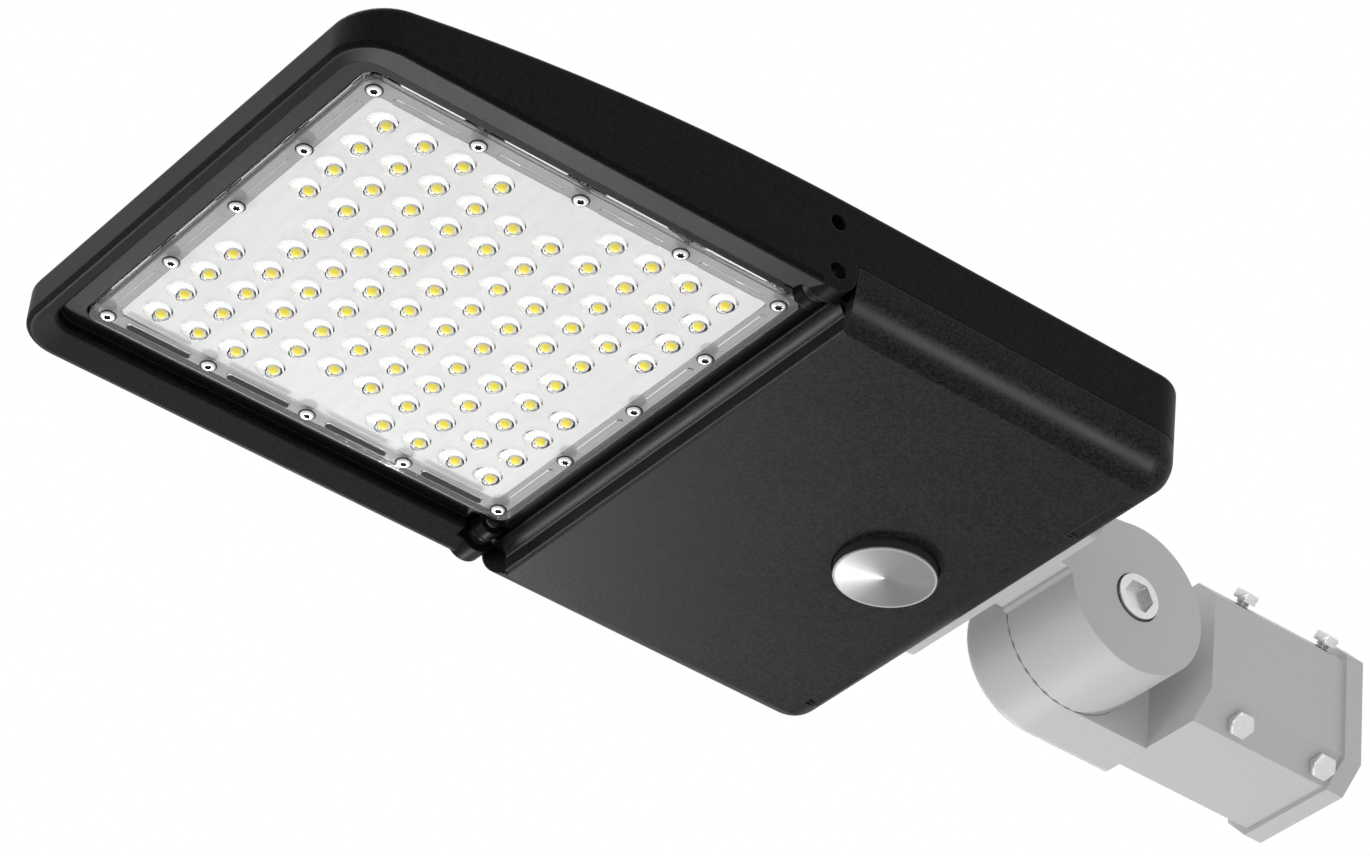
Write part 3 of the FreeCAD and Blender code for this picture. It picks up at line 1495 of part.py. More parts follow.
def make_latch_guides():
    inner = s.slide_half + s.rest_gap
    outer = inner + s.guide_foot
    top = guide_roof_z + s.guide_roof
    bridges = []
    for k, (x0, x1) in enumerate(guide_places()):
        block = box(f"guide_block_{k}", x0, x1, -outer, outer, boss_top, top)
        tunnel = box(f"guide_tunnel_{k}", x0, x1, -inner, inner, boss_top, guide_roof_z)
        holes = [
            rod(f"guide_hole_{k}_{n}", s.guide_screw / 2 + s.running_gap, top - boss_top,
                (x, y, boss_top), "Z")
            for n, (x, y) in enumerate(list(guide_screw_places())[2 * k:2 * k + 2])
        ]
        bridges.append(cut(f"guide_bridge_{k}", block, tunnel, *holes))
    return group("latch_guides", bridges)


def make_guide_screws():
    top = guide_roof_z + s.guide_roof
    return group("guide_screws", [
        screw(f"guide_screw_{k}", (x, y, top), "-Z", s.guide_screw, top - boss_top + s.guide_bite,
              s.guide_foot, s.guide_roof)
        for k, (x, y) in enumerate(guide_screw_places())
    ])


def make_latch_strike():
    """A hanging plate with a window that the tongue points into."""
    plate = box("strike_plate", strike_x, strike_face, -s.strike_half, s.strike_half,
                -s.strike_low, s.strike_high)
    room = s.tongue_half + s.window_gap
    window = box("strike_window", strike_x, strike_face, -room, room,
                 slide_z - s.window_gap, slide_top + s.window_gap)
    holes = [
        rod(f"strike_hole_{k}", s.screw_shank / 2 + s.running_gap, s.strike_thick,
            (strike_x, s.strike_screw_span / 2 * side, s.strike_screw_rise), "X")
        for k, side in enumerate(SIDES)
    ]
    return cut("latch_strike", plate, window, *holes)


def make_strike_screws():
    return group("strike_screws", [
        screw(f"strike_screw_{k}", (strike_face, s.strike_screw_span / 2 * side, s.strike_screw_rise), "-X",
              s.screw_shank, s.strike_thick + s.strike_bite, s.screw_head, s.screw_head_height)
        for k, side in enumerate(SIDES)
    ])


MAKERS = [
    make_slip_fitter, make_set_bolts, make_tilt_screw, make_tilt_washer, make_tilt_nut,
    make_tilt_arm, make_arm_gasket, make_arm_bolts, make_housing,
    make_led_board, make_led_chips, make_lens_plate, make_lens_gasket, make_lens_screws,
    make_driver, make_terminal_block, make_surge_protector, make_bay_screws, make_earth_screw,
    make_led_lead, make_input_lead, make_wire_grommet, make_hinge_pins,
    make_door, make_door_gasket, make_button_cap, make_button_stem, make_button_spring,
    make_latch_slide, make_latch_guides, make_guide_screws, make_latch_strike, make_strike_screws,
]
nodes = [make() for make in MAKERS]
doc.recompute()

failed = [o.Name for o in doc.Objects if "Invalid" in o.State or "Error" in o.State]
failed += [n.Label for n in nodes if n.Shape.isNull() or not n.Shape.isValid() or not n.Shape.Solids]
if failed:
    raise RuntimeError(f"failed objects: {failed}")

os.makedirs("parts", exist_ok=True)
for node in nodes:
    node.Shape.exportStep(f"parts/{node.Label}.step")
    print(f"{node.Label}: {len(node.Shape.Solids)} solids, {node.Shape.Volume / 1000:.2f} cm3")
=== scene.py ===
# %% [markdown]
# # A street light seen from below
# The lamp head is a black aluminium casting with a clear cover over its LEDs, a hinged
# door under the driver bay, and a pale bracket that clamps on a pole. Every solid comes
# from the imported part, in metres. This lesson gives each one its finish, and models
# again the small pieces that a plain solid leaves too simple.

import json
import math

import bmesh
import bpy
from mathutils import Matrix, Vector

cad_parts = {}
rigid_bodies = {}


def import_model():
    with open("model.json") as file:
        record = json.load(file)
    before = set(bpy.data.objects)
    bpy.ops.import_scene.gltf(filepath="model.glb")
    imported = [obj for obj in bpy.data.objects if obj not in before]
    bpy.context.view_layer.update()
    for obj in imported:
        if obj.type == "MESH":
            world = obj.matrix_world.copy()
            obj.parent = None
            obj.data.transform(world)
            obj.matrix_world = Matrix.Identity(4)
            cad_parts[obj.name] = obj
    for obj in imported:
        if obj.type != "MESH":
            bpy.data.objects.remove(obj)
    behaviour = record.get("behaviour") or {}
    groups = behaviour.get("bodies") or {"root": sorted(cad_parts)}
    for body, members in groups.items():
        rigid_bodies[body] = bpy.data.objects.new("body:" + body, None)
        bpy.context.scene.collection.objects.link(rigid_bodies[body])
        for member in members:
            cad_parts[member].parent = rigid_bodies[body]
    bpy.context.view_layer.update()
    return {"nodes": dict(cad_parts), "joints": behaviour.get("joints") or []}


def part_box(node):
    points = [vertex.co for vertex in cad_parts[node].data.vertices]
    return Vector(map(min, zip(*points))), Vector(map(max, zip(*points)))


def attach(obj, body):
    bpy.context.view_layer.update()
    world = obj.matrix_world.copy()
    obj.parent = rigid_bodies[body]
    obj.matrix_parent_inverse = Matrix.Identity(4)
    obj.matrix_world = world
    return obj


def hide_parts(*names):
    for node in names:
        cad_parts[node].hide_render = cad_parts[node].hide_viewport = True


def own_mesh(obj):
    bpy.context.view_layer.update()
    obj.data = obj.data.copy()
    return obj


for leftover in list(bpy.data.objects):
    bpy.data.objects.remove(leftover)
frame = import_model()
nodes = frame["nodes"]
MM = 0.001

# %% [markdown]
# ## Camera
# The photograph looks up at the head from its left front. A camera is a matrix whose
# columns are its right, its up and the way back to the eye, and whose last column is
# its place. Writing the columns is plainer here than three angles.

# %% Place the camera
RIGHT = Vector((-0.79786, 0.59569, 0.09259))
UP = Vector((0.41111, 0.42532, 0.80628))
BACK = Vector((0.44091, 0.68136, -0.58424))
EYE = Vector((1.2364, 1.4032, -1.2028))
SENSOR_WIDTH = 36.0
FOCAL_LENGTH = 136.64

lens = bpy.data.cameras.new("camera")
lens.sensor_width = SENSOR_WIDTH
lens.lens = FOCAL_LENGTH
lens.clip_start = 0.05
lens.clip_end = 100.0
camera = bpy.data.objects.new("camera", lens)
bpy.context.scene.collection.objects.link(camera)
turn = Matrix((RIGHT, UP, BACK)).transposed().to_4x4()
camera.matrix_world = Matrix.Translation(EYE) @ turn
bpy.context.scene.camera = camera
bpy.context.scene.view_settings.view_transform = "Standard"
print("camera", round(EYE.length, 2), "m from the socket")

# %% [markdown]
# ## Two leads
# Inside the bay one lead brings the supply from the terminal block to the driver, and
# another takes its output through a cast duct to the LED board. A lead is a fixed length
# of something limp, so each is a smooth NURBS curve with a round bevel, not a mesh. The
# bevel is one metre deep and every point scales it down to the lead's radius, because
# Blender adds a point's own radius to the curve's box.

# %% Make the leads
LEAD_DIAMETER = 4 * MM


def lead(name, node, points):
    curve = bpy.data.curves.new(name, "CURVE")
    curve.dimensions = "3D"
    curve.bevel_depth = 1.0
    curve.bevel_resolution = 5
    curve.use_fill_caps = True
    spline = curve.splines.new("NURBS")
    spline.points.add(len(points) - 1)
    for place, (x, y, z) in zip(spline.points, points):
        place.co = (x * MM, y * MM, z * MM, 1.0)
        place.radius = LEAD_DIAMETER / 2
    spline.order_u = 3
    spline.use_endpoint_u = True
    spline.resolution_u = 16
    piece = bpy.data.objects.new(name, curve)
    bpy.context.scene.collection.objects.link(piece)
    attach(piece, "head")
    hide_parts(node)
    return piece


output_lead = lead("output_lead", "led_lead",
                   [(322, 0, 12), (351.5, 0, 12), (363, 0, 12), (363, 0, 0.5)])
supply_lead = lead("supply_lead", "input_lead",
                   [(203.5, -40, 16), (223, -40, 16), (242.5, -10, 16), (262, -10, 16)])
print("leads:", output_lead.name, supply_lead.name)

# %% [markdown]
# ## Shader sums
# A finish is a small sum of patterns. `Value` wraps one socket, so that an expression
# such as `1 - grain * 0.3` adds the Math nodes by itself, and `Finish.node` makes every
# other kind of node. That keeps each recipe below as short as the idea behind it.

# %% Define the shader helpers
def feed(socket, value):
    if isinstance(value, Value):
        value.tree.links.new(value.socket, socket)
    else:
        socket.default_value = value


class Value:
    """One output socket. Arithmetic on it adds Math nodes to its own tree."""

    def __init__(self, socket):
        self.socket = socket
        self.tree = socket.id_data

    def sum(self, operation, first, second):
        node = self.tree.nodes.new("ShaderNodeMath")
        node.operation = operation
        feed(node.inputs[0], first)
        feed(node.inputs[1], second)
        return Value(node.outputs[0])

    def __add__(self, other):
        return self.sum("ADD", self, other)

    def __sub__(self, other):
        return self.sum("SUBTRACT", self, other)

    def __rsub__(self, other):
        return self.sum("SUBTRACT", other, self)

    def __mul__(self, other):
        return self.sum("MULTIPLY", self, other)

    def __or__(self, other):
        return self.sum("MAXIMUM", self, other)

    __radd__ = __add__
    __rmul__ = __mul__


class Finish:
    """A material, its node tree and its main shader."""

    def __init__(self, name, **constants):
        self.material = bpy.data.materials.new(name)
        self.material.use_nodes = True
        self.tree = self.material.node_tree
        self.shader = self.tree.nodes["Principled BSDF"]
        self.set(**constants)

    def set(self, **values):
        for name, value in values.items():
            words = [w.upper() if w == "ior" else w.capitalize() for w in name.split("_")]
            feed(self.shader.inputs[" ".join(words)], value)

    def node(self, kind, settings=None, inputs=None, out=0):
        node = self.tree.nodes.new("ShaderNode" + kind)
        for name, value in (settings or {}).items():
            setattr(node, name, value)
        for name, value in (inputs or {}).items():
            feed(node.inputs[name], value)
        return Value(node.outputs[out])

    def here(self):
        return self.node("TexCoord", out="Object")

    def noise(self, size, detail=2.0, rough=0.5, at=None):
        """Noise from 0 to 1 whose blobs are about `size` metres across."""
        return self.node("TexNoise", {"noise_dimensions": "3D"},
                         {"Vector": at or self.here(), "Scale": 1 / size,
                          "Detail": detail, "Roughness": rough})

    def span(self, value, low, high, start=0.0, end=1.0):
        """The value's range from low to high, spread from start to end."""
        return self.node("MapRange", {"clamp": True},
                         {"Value": value, "From Min": low, "From Max": high,
                          "To Min": start, "To Max": end})

    def blend(self, amount, first, second):
        return self.node("Mix", {"data_type": "RGBA"},
                         {0: amount, 6: first, 7: second}, out=2)

    def bump(self, height, depth, strength=1.0, under=None):
        inputs = {"Height": height, "Distance": depth, "Strength": strength}
        if under is not None:
            inputs["Normal"] = under
        return self.node("Bump", None, inputs)

    def soft_edge(self, radius):
        return self.node("Bevel", {"samples": 6}, {"Radius": radius})


def grey(value):
    return (value, value, value, 1.0)


print("helpers ready")

# %% [markdown]
# ## Studio
# The picture has a plain white ground and soft light from below. The floor lies far under
# the head, so that it is under every camera, and the sky is white where the camera, a
# gloss or clear plastic sees it. What lights the object is dimmer, so that a colour
# renders about as it is written. Two of the soft boxes draw the long highlights of the
# door, and they are linked to the door alone, so that they light nothing else.

# %% Build the floor, the sky and the soft boxes
FLOOR_Z = -6.0
FLOOR_HALF = 20.0


def seen_directly(make):
    """1 for rays that show the background itself, and 0 for rays that only carry light."""
    ways = ("Is Camera Ray", "Is Glossy Ray", "Is Transmission Ray")
    camera_ray, glossy_ray, clear_ray = (make(way) for way in ways)
    return camera_ray | glossy_ray | clear_ray


ground = bmesh.new()
bmesh.ops.create_grid(ground, x_segments=4, y_segments=4, size=FLOOR_HALF)
bmesh.ops.translate(ground, verts=ground.verts, vec=(0.3, 0.0, FLOOR_Z))
floor_mesh = bpy.data.meshes.new("floor")
ground.to_mesh(floor_mesh)
ground.free()
floor = bpy.data.objects.new("floor", floor_mesh)
bpy.context.scene.collection.objects.link(floor)

pale = Finish("pale_floor", base_color=grey(0.8), roughness=0.9)
glow = pale.node("Emission", None, {"Color": grey(1.0), "Strength": 1.0})
share = seen_directly(lambda way: pale.node("LightPath", out=way))
paper = pale.node("MixShader", None,
                  {0: share, 1: Value(pale.shader.outputs[0]), 2: glow})
feed(pale.tree.nodes["Material Output"].inputs["Surface"], paper)
floor_mesh.materials.append(pale.material)

SKY_LIGHT = 0.67
sky = bpy.data.worlds.new("sky")
bpy.context.scene.world = sky
sky.use_nodes = True
background = sky.node_tree.nodes["Background"]
background.inputs["Color"].default_value = grey(1.0)


def sky_ray(way):
    return Value(sky.node_tree.nodes.new("ShaderNodeLightPath").outputs[way])


feed(background.inputs["Strength"], SKY_LIGHT + seen_directly(sky_ray) * (1 - SKY_LIGHT))


def soft_box(name, aim, toward, distance, side, power, grid=180):
    """A square lamp that looks at a point from a direction. A grid narrows its beam."""
    lamp = bpy.data.lights.new(name, "AREA")
    lamp.shape = "SQUARE"
    lamp.size = side
    lamp.energy = power
    lamp.spread = math.radians(grid)
    holder = bpy.data.objects.new(name, lamp)
    bpy.context.scene.collection.objects.link(holder)
    away = Vector(toward).normalized()
    holder.location = Vector(aim) + away * distance
    holder.rotation_euler = away.to_track_quat("Z", "Y").to_euler()
    return holder


def flagged(holder, *names):
    """Keeps a lamp off everything but a few solids, as black cards do in a studio."""
    shown = bpy.data.collections.new(holder.name + "_flags")
    for name in names:
        shown.objects.link(nodes[name])
    holder.light_linking.receiver_collection = shown


# Each line gives the point it looks at, the way to the lamp, the distance in metres, the
# side of the square, the power in watts and, for one of them, a grid in degrees.
flank_box = soft_box("flank_box", (0.24, 0.135, -0.01), (-0.45, 0.74, -0.48), 1.6, 0.5, 42.0)
lip_box = soft_box("lip_box", (0.34, 0.0, -0.012), (0.72, -0.68, -0.12), 1.7, 0.5, 45.0)
flagged(flank_box, "door")
flagged(lip_box, "door")
soft_box("door_box", (0.225, 0.0, -0.018), (-0.255, -0.821, -0.51), 1.72, 0.2, 16.0)
soft_box("front_box", (0.40, 0.0, -0.01), (0.575, -0.68, -0.435), 1.7, 0.5, 4.0)
soft_box("brow_box", (0.56, 0.0, 0.0), (0.44, -0.68, 0.58), 1.7, 0.5, 0.8)
soft_box("bracket_box", (0.06, 0.02, -0.02), (0.40, 0.70, -0.59), 2.4, 0.4, 0.13, 14)
soft_box("top_box", (0.3, 0.0, 0.0), (0.2, -0.3, 1.0), 2.2, 1.6, 22.0)
print("floor at", FLOOR_Z, "m, seven soft boxes")

# %% [markdown]
# ## Black paint
# The casting and its door carry a matt powder coat. Its grain is about a millimetre wide
# and shallow, so it is mostly a change of tone, with a little bump and roughness. The
# door's coat is a touch sandier. Sharp edges get a soft normal, because powder flows
# round them, and a paler tone, which is a painted highlight along each edge.

# %% Mix the black coats
EDGE_HIGHLIGHT_WIDTH = 0.7 * MM
PATCH = 50 * MM


def powder(name, tone, spread, grain, depth, rough, shine, edge, highlight_tone):
    """A grainy coat around one tone. The last argument is the paler tone of the painted
    highlight along its sharp edges.
    """
    coat = Finish(name, metallic=0.0, specular_ior_level=shine)
    fine = coat.noise(grain, 3.0, 0.6)
    broad = coat.noise(PATCH, 2.0)
    speck = coat.span(fine, 0.35, 0.7)
    shade = speck * 0.8 + broad * 0.2
    paint = coat.blend(shade, grey(tone - spread), grey(tone + spread))
    crisp = coat.node("NewGeometry", out="Normal")
    corner = coat.node("VectorMath", {"operation": "DOT_PRODUCT"},
                       {0: coat.soft_edge(EDGE_HIGHLIGHT_WIDTH), 1: crisp}, out="Value")
    # Painted highlight: sharp edges take a paler tone, stronger in some patches than others.
    edge_highlight = coat.span(corner, 0.99, 0.93) * coat.span(broad, 0.3, 0.6, 0.6, 1.0)
    dull = fine * 0.7 + broad * 0.3
    coat.set(base_color=coat.blend(edge_highlight, paint, grey(highlight_tone)),
             roughness=coat.span(dull, 0.3, 0.7, rough - 0.06, rough + 0.08),
             normal=coat.bump(fine, depth, 0.6, coat.soft_edge(edge)))
    return coat


# The last number of each coat is the tone of its painted edge highlight.
black_coat = powder("black_coat", 0.006, 0.005, 1.1 * MM, 0.07 * MM, 0.40, 0.05,
                    1.2 * MM, 0.025)
door_coat = powder("door_coat", 0.006, 0.006, 1.2 * MM, 0.09 * MM, 0.38, 0.05,
                   0.8 * MM, 0.03)
print("coats:", black_coat.material.name, door_coat.material.name)

# %% [markdown]
# ## Bracket paint and bright metal
# The bracket is the same kind of coat in pale grey, rougher but with more sheen. Bolts
# and screws are zinc plated: bright, with a faint mottle from the bath and fine
# scratches, so roughness carries most of their look.

# %% Mix the bracket grey and the plated steel
# The last number is the tone of the bracket's painted edge highlight.
bracket_coat = powder("bracket_coat", 0.50, 0.018, 0.9 * MM, 0.06 * MM, 0.5, 0.35,
                      0.5 * MM, 0.56)


def plated(name, tone, rough, mottle):
    metal = Finish(name, metallic=1.0)
    bath = metal.noise(mottle, 4.0, 0.6)
    scratch = metal.noise(0.25 * MM, 2.0, 0.7)
    dark = (tone * 0.74, tone * 0.76, tone * 0.78, 1.0)
    light = (tone, tone, tone * 0.985, 1.0)
    dull = bath * 0.6 + scratch * 0.4
    metal.set(base_color=metal.blend(bath, dark, light),
              roughness=metal.span(dull, 0.3, 0.7, rough - 0.07, rough + 0.1),
              normal=metal.bump(scratch, 0.01 * MM, 0.4, metal.soft_edge(0.25 * MM)))
    return metal


zinc = plated("zinc", 0.78, 0.30, 2.2 * MM)
spring_steel = plated("spring_steel", 0.62, 0.26, 1.5 * MM)
print("metals:", zinc.material.name, spring_steel.material.name)

# %% [markdown]
# ## Turned metal
# The button's face is turned on a lathe. Each pass of the tool leaves a shallow groove,
# and the grooves bunch the light into a bright wedge that points at the middle. The
# grooves are modelled further down, so the finish only varies from ring to ring: its
# noise runs along the distance from the button's axis.

# %% Mix the turned metal
PASSES_PER_METRE = 2600.0

cap_low, cap_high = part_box("button_cap")
cap_axis = (cap_low + cap_high) / 2
turned_metal = Finish("turned_metal", metallic=1.0)
around = turned_metal.node("Mapping", {"vector_type": "POINT"},
                           {"Vector": turned_metal.here(), "Scale": (1.0, 1.0, 0.0),
                            "Location": (-cap_axis.x, -cap_axis.y, 0.0)})
far = turned_metal.node("VectorMath", {"operation": "LENGTH"}, {0: around}, out="Value")
passes = turned_metal.node("TexNoise", {"noise_dimensions": "1D"},
                           {"W": far, "Scale": PASSES_PER_METRE, "Detail": 2.0})
turned_metal.set(base_color=turned_metal.blend(passes, grey(0.23), grey(0.29)),
                 roughness=turned_metal.span(passes, 0.3, 0.7, 0.46, 0.54))
print("button axis at", [round(v / MM, 1) for v in cap_axis])

# %% [markdown]
# ## Clear cover
# The cover over the LEDs is moulded in clear plastic, with a dome over each LED. It is
# real glass to the shader, so that the domes bend what lies behind them, but lamps and
# bounced light pass straight through: tracing them through every dome would only add noise.

# %% Mix the clear plastic
ACRYLIC_IOR = 1.49
clear_plastic = Finish("clear_plastic", base_color=grey(1.0), roughness=0.03,
                       ior=ACRYLIC_IOR, transmission_weight=1.0)
ripple = clear_plastic.noise(6 * MM, 2.0)
clear_plastic.set(normal=clear_plastic.bump(ripple, 0.05 * MM, 0.25))
through = clear_plastic.node("BsdfTransparent", None, {"Color": grey(1.0)})
lamp_ray = clear_plastic.node("LightPath", out="Is Shadow Ray")
bounced = clear_plastic.node("LightPath", out="Is Diffuse Ray")
cover_mix = clear_plastic.node("MixShader", None,
                               {0: lamp_ray | bounced,
                                1: Value(clear_plastic.shader.outputs[0]), 2: through})
feed(clear_plastic.tree.nodes["Material Output"].inputs["Surface"], cover_mix)
print("clear plastic at IOR", ACRYLIC_IOR)

# %% [markdown]
# ## Plastics, rubber and the LED board
# These sit behind the cover or the door. Each has its own grain: solder mask is clouded
# and streaked, nylon is waxy, rubber is dull, and the driver's case is lacquered
# aluminium with lines along its length. The phosphor has a faint painted glow of constant
# strength, standing for the way it gives back blue light as yellow, though the LEDs are off.

# %% Mix the small finishes
def moulded(name, colour, rough, grain, depth, change, shine=0.4):
    """Plastic or rubber with a fine bump, a shade that drifts by `change`, and a shine."""
    skin = Finish(name, specular_ior_level=shine)
    fine = skin.noise(grain, 3.0)
    broad = skin.noise(grain * 25, 2.0)
    dark = tuple(c * (1 - change) for c in colour) + (1.0,)
    light = tuple(min(1.0, c * (1 + change)) for c in colour) + (1.0,)
    skin.set(base_color=skin.blend(broad, dark, light),
             roughness=skin.span(fine, 0.3, 0.7, rough - 0.06, rough + 0.08),
             normal=skin.bump(fine, depth, 0.5))
    return skin


led_package = moulded("led_package", (0.86, 0.86, 0.84), 0.4, 0.4 * MM, 0.005 * MM, 0.03)
phosphor = moulded("phosphor", (1.0, 0.83, 0.03), 0.5, 0.25 * MM, 0.01 * MM, 0.06)
# Painted glow: the phosphor emits a faint constant yellow, though the LEDs are off.
phosphor.set(emission_color=(1.0, 0.75, 0.04, 1.0), emission_strength=0.2)
black_rubber = moulded("black_rubber", (0.012, 0.012, 0.012), 0.62, 0.5 * MM, 0.03 * MM, 0.25)
grey_rubber = moulded("grey_rubber", (0.42, 0.42, 0.42), 0.6, 0.6 * MM, 0.03 * MM, 0.06)
nylon = moulded("nylon", (0.72, 0.71, 0.67), 0.42, 0.5 * MM, 0.02 * MM, 0.04)
blue_case = moulded("blue_case", (0.03, 0.10, 0.32), 0.38, 0.6 * MM, 0.02 * MM, 0.1)
potting = moulded("potting", (0.02, 0.02, 0.022), 0.5, 2 * MM, 0.05 * MM, 0.2)
red_skin = moulded("red_skin", (0.42, 0.02, 0.02), 0.4, 0.5 * MM, 0.01 * MM, 0.06)
white_skin = moulded("white_skin", (0.68, 0.67, 0.64), 0.42, 0.5 * MM, 0.01 * MM, 0.05)
pad_rubber = moulded("pad_rubber", (0.02, 0.02, 0.02), 0.6, 0.5 * MM, 0.03 * MM, 0.15, 0.1)
# Painted shade: near black for the inside of screw sockets and the ring under the cover's
# screws.
painted_shade = moulded("painted_shade", (0.01, 0.01, 0.01), 0.7, 0.3 * MM, 0.01 * MM, 0.2)

board_mask = Finish("board_mask", specular_ior_level=0.1)
rows = board_mask.node("Mapping", {"vector_type": "POINT"},
                       {"Vector": board_mask.here(), "Scale": (1.0, 0.12, 1.0)})
streak = board_mask.noise(5 * MM, 4.0, 0.65, rows)
cloud = board_mask.noise(9 * MM, 4.0, 0.7)
tracks = board_mask.span(streak * 0.6 + cloud * 0.4, 0.35, 0.65)
board_mask.set(base_color=board_mask.blend(tracks, (0.78, 0.78, 0.79, 1.0), grey(0.88)),
               roughness=board_mask.span(cloud, 0.3, 0.7, 0.5, 0.66),
               normal=board_mask.bump(streak, 0.02 * MM, 0.4))

drawn_case = Finish("drawn_case", metallic=0.35, specular_ior_level=0.2)
along = drawn_case.node("Mapping", {"vector_type": "POINT"},
                        {"Vector": drawn_case.here(), "Scale": (1.0, 0.02, 1.0)})
lines = drawn_case.noise(0.5 * MM, 3.0, 0.6, along)
drawn_case.set(base_color=drawn_case.blend(lines, grey(0.32), grey(0.42)),
               roughness=drawn_case.span(lines, 0.3, 0.7, 0.52, 0.64),
               normal=drawn_case.bump(lines, 0.02 * MM, 0.4))
output_lead.data.materials.append(red_skin.material)
supply_lead.data.materials.append(white_skin.material)
print("finishes so far:", len(bpy.data.materials))

# %% [markdown]
# ## Dress the solids
# Large castings and the clear cover already have their real shape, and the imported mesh
# carries exact normals, so they stay and only take a finish. Changing the material of a
# node does not touch its mesh.

# %% Give each solid its finish
DRESSED = {
    black_coat: ["housing"],
    door_coat: ["door"],
    bracket_coat: ["slip_fitter", "tilt_arm"],
    clear_plastic: ["lens_plate"],
    board_mask: ["led_board"],
    grey_rubber: ["lens_gasket"],
    black_rubber: ["wire_grommet"],
    zinc: ["tilt_screw", "tilt_washer", "tilt_nut", "hinge_pins"],
}
for finish, names in DRESSED.items():
    for name in names:
        slots = nodes[name].data.materials
        slots.clear()
        slots.append(finish.material)
print("dressed:", sum(len(names) for names in DRESSED.values()))

# %% [markdown]
# ## Making a piece
# A new piece starts as a bmesh. When it is done it becomes an object at the origin, takes
# its finishes, rides on a body, and hides the solid that it stands for. Faces that meet
# at a shallow angle are shaded smooth and the rest stay crisp.

# %% Define how a piece is finished
def finish_piece(name, bm, body, finishes, replaced=(), crisp=35):
    mesh = bpy.data.meshes.new(name)
    bm.to_mesh(mesh)
    bm.free()
    for finish in finishes:
        mesh.materials.append(finish.material)
    mesh.shade_smooth()
    mesh.set_sharp_from_angle(angle=math.radians(crisp))
    piece = bpy.data.objects.new(name, mesh)
    bpy.context.scene.collection.objects.link(piece)
    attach(piece, body)
    if replaced:
        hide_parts(*replaced)
    print(name, len(mesh.polygons), "faces")
    return piece


def spun(bm, profile, steps):
    """Turns a line of (radius, height) points about Z."""
    points = [bm.verts.new((r, 0.0, z)) for r, z in profile]
    edges = [bm.edges.new(pair) for pair in zip(points, points[1:])]
    bmesh.ops.spin(bm, geom=points + edges, cent=(0, 0, 0), axis=(0, 0, 1),
                   angle=math.tau, steps=steps, use_merge=True)
    bmesh.ops.remove_doubles(bm, verts=bm.verts, dist=1e-7)
    bmesh.ops.recalc_face_normals(bm, faces=bm.faces)


def set_down(bm, pattern, at, facing):
    """Adds a copy of a pattern whose Z points a given way."""
    copy = pattern.copy()
    turn_to = Vector((0, 0, 1)).rotation_difference(Vector(facing)).to_matrix().to_4x4()
    bmesh.ops.transform(copy, matrix=Matrix.Translation(at) @ turn_to, verts=copy.verts)
    mesh = bpy.data.meshes.new("pattern")
    copy.to_mesh(mesh)
    copy.free()
    bm.from_mesh(mesh)
    bpy.data.meshes.remove(mesh)


def solid_boxes(node):
    """The low and high corner of each separate solid in a node."""
    bm = bmesh.new()
    bm.from_mesh(nodes[node].data)
    bmesh.ops.remove_doubles(bm, verts=bm.verts, dist=1e-6)
    waiting = set(bm.verts)
    boxes = []
    for start in bm.verts:
        if start not in waiting:
            continue
        waiting.remove(start)
        reached = [start]
        for vert in reached:
            for edge in vert.link_edges:
                other = edge.other_vert(vert)
                if other in waiting:
                    waiting.remove(other)
                    reached.append(other)
        spread = list(zip(*(v.co for v in reached)))
        boxes.append((Vector(map(min, spread)), Vector(map(max, spread))))
    bm.free()
    return boxes


print("screws on the cover:", len(solid_boxes("lens_screws")))

# %% [markdown]
# ## Screws
# A pan head has a rounded rim and a six-lobed socket. It is turned from a profile, then
# its flat top is inset, the inner ring pushed in and out to make lobes, and the floor
# of the socket sunk. One pattern of each size is set down on every screw of the part.
# The socket's walls and floor take a near-black finish, which is painted shade. The
# cover's screws also stand on a dark ring, a painted shadow of their counterbore.

# %% Turn the screws
LOBES = 6


def pan_screw(head, height, shank, bite, shadow_ring=False):
    """A screw about Z: its seat at 0, its head above and its shank below."""
    bm = bmesh.new()
    r = head / 2
    lip = height * 0.35
    # Painted shadow: a thin dark ring under the head, where the counterbore casts shade.
    if shadow_ring:
        spun(bm, [(r * 0.9, 0.02 * MM), (r * 0.9, 0.3 * MM), (r * 1.16, 0.3 * MM),
                  (r * 1.2, 0.2 * MM), (r * 1.2, 0.02 * MM), (r * 0.9, 0.02 * MM)], 24)
        for face in bm.faces:
            face.material_index = 1
    spun(bm, [(0, height), (r * 0.62, height), (r * 0.86, height - lip * 0.3),
              (r * 0.97, height - lip), (r, height - lip * 1.8), (r, 0),
              (shank / 2, 0), (shank / 2, -bite + shank * 0.2), (shank * 0.3, -bite),
              (0, -bite)], 36)
    top_z = height * 0.999
    flat = [f for f in bm.faces if f.calc_center_median().z > top_z]
    bmesh.ops.dissolve_faces(bm, faces=flat)
    top = [f for f in bm.faces if f.calc_center_median().z > top_z]
    bmesh.ops.inset_region(bm, faces=top, thickness=r * 0.08, use_even_offset=True)
    for vert in top[0].verts:
        angle = math.atan2(vert.co.y, vert.co.x)
        vert.co.xy = vert.co.xy * (0.92 + 0.16 * math.cos(LOBES * angle))
    sunk = bmesh.ops.extrude_face_region(bm, geom=top)["geom"]
    bmesh.ops.delete(bm, geom=top, context="FACES")
    base = [g for g in sunk if isinstance(g, bmesh.types.BMFace)]
    bmesh.ops.translate(bm, verts=base[0].verts, vec=(0, 0, -height * 0.62))
    # Painted shade: the socket's floor and walls take the near-black finish.
    for face in base + [f for e in base[0].edges for f in e.link_faces]:
        face.material_index = 1
    bmesh.ops.recalc_face_normals(bm, faces=bm.faces)
    return bm


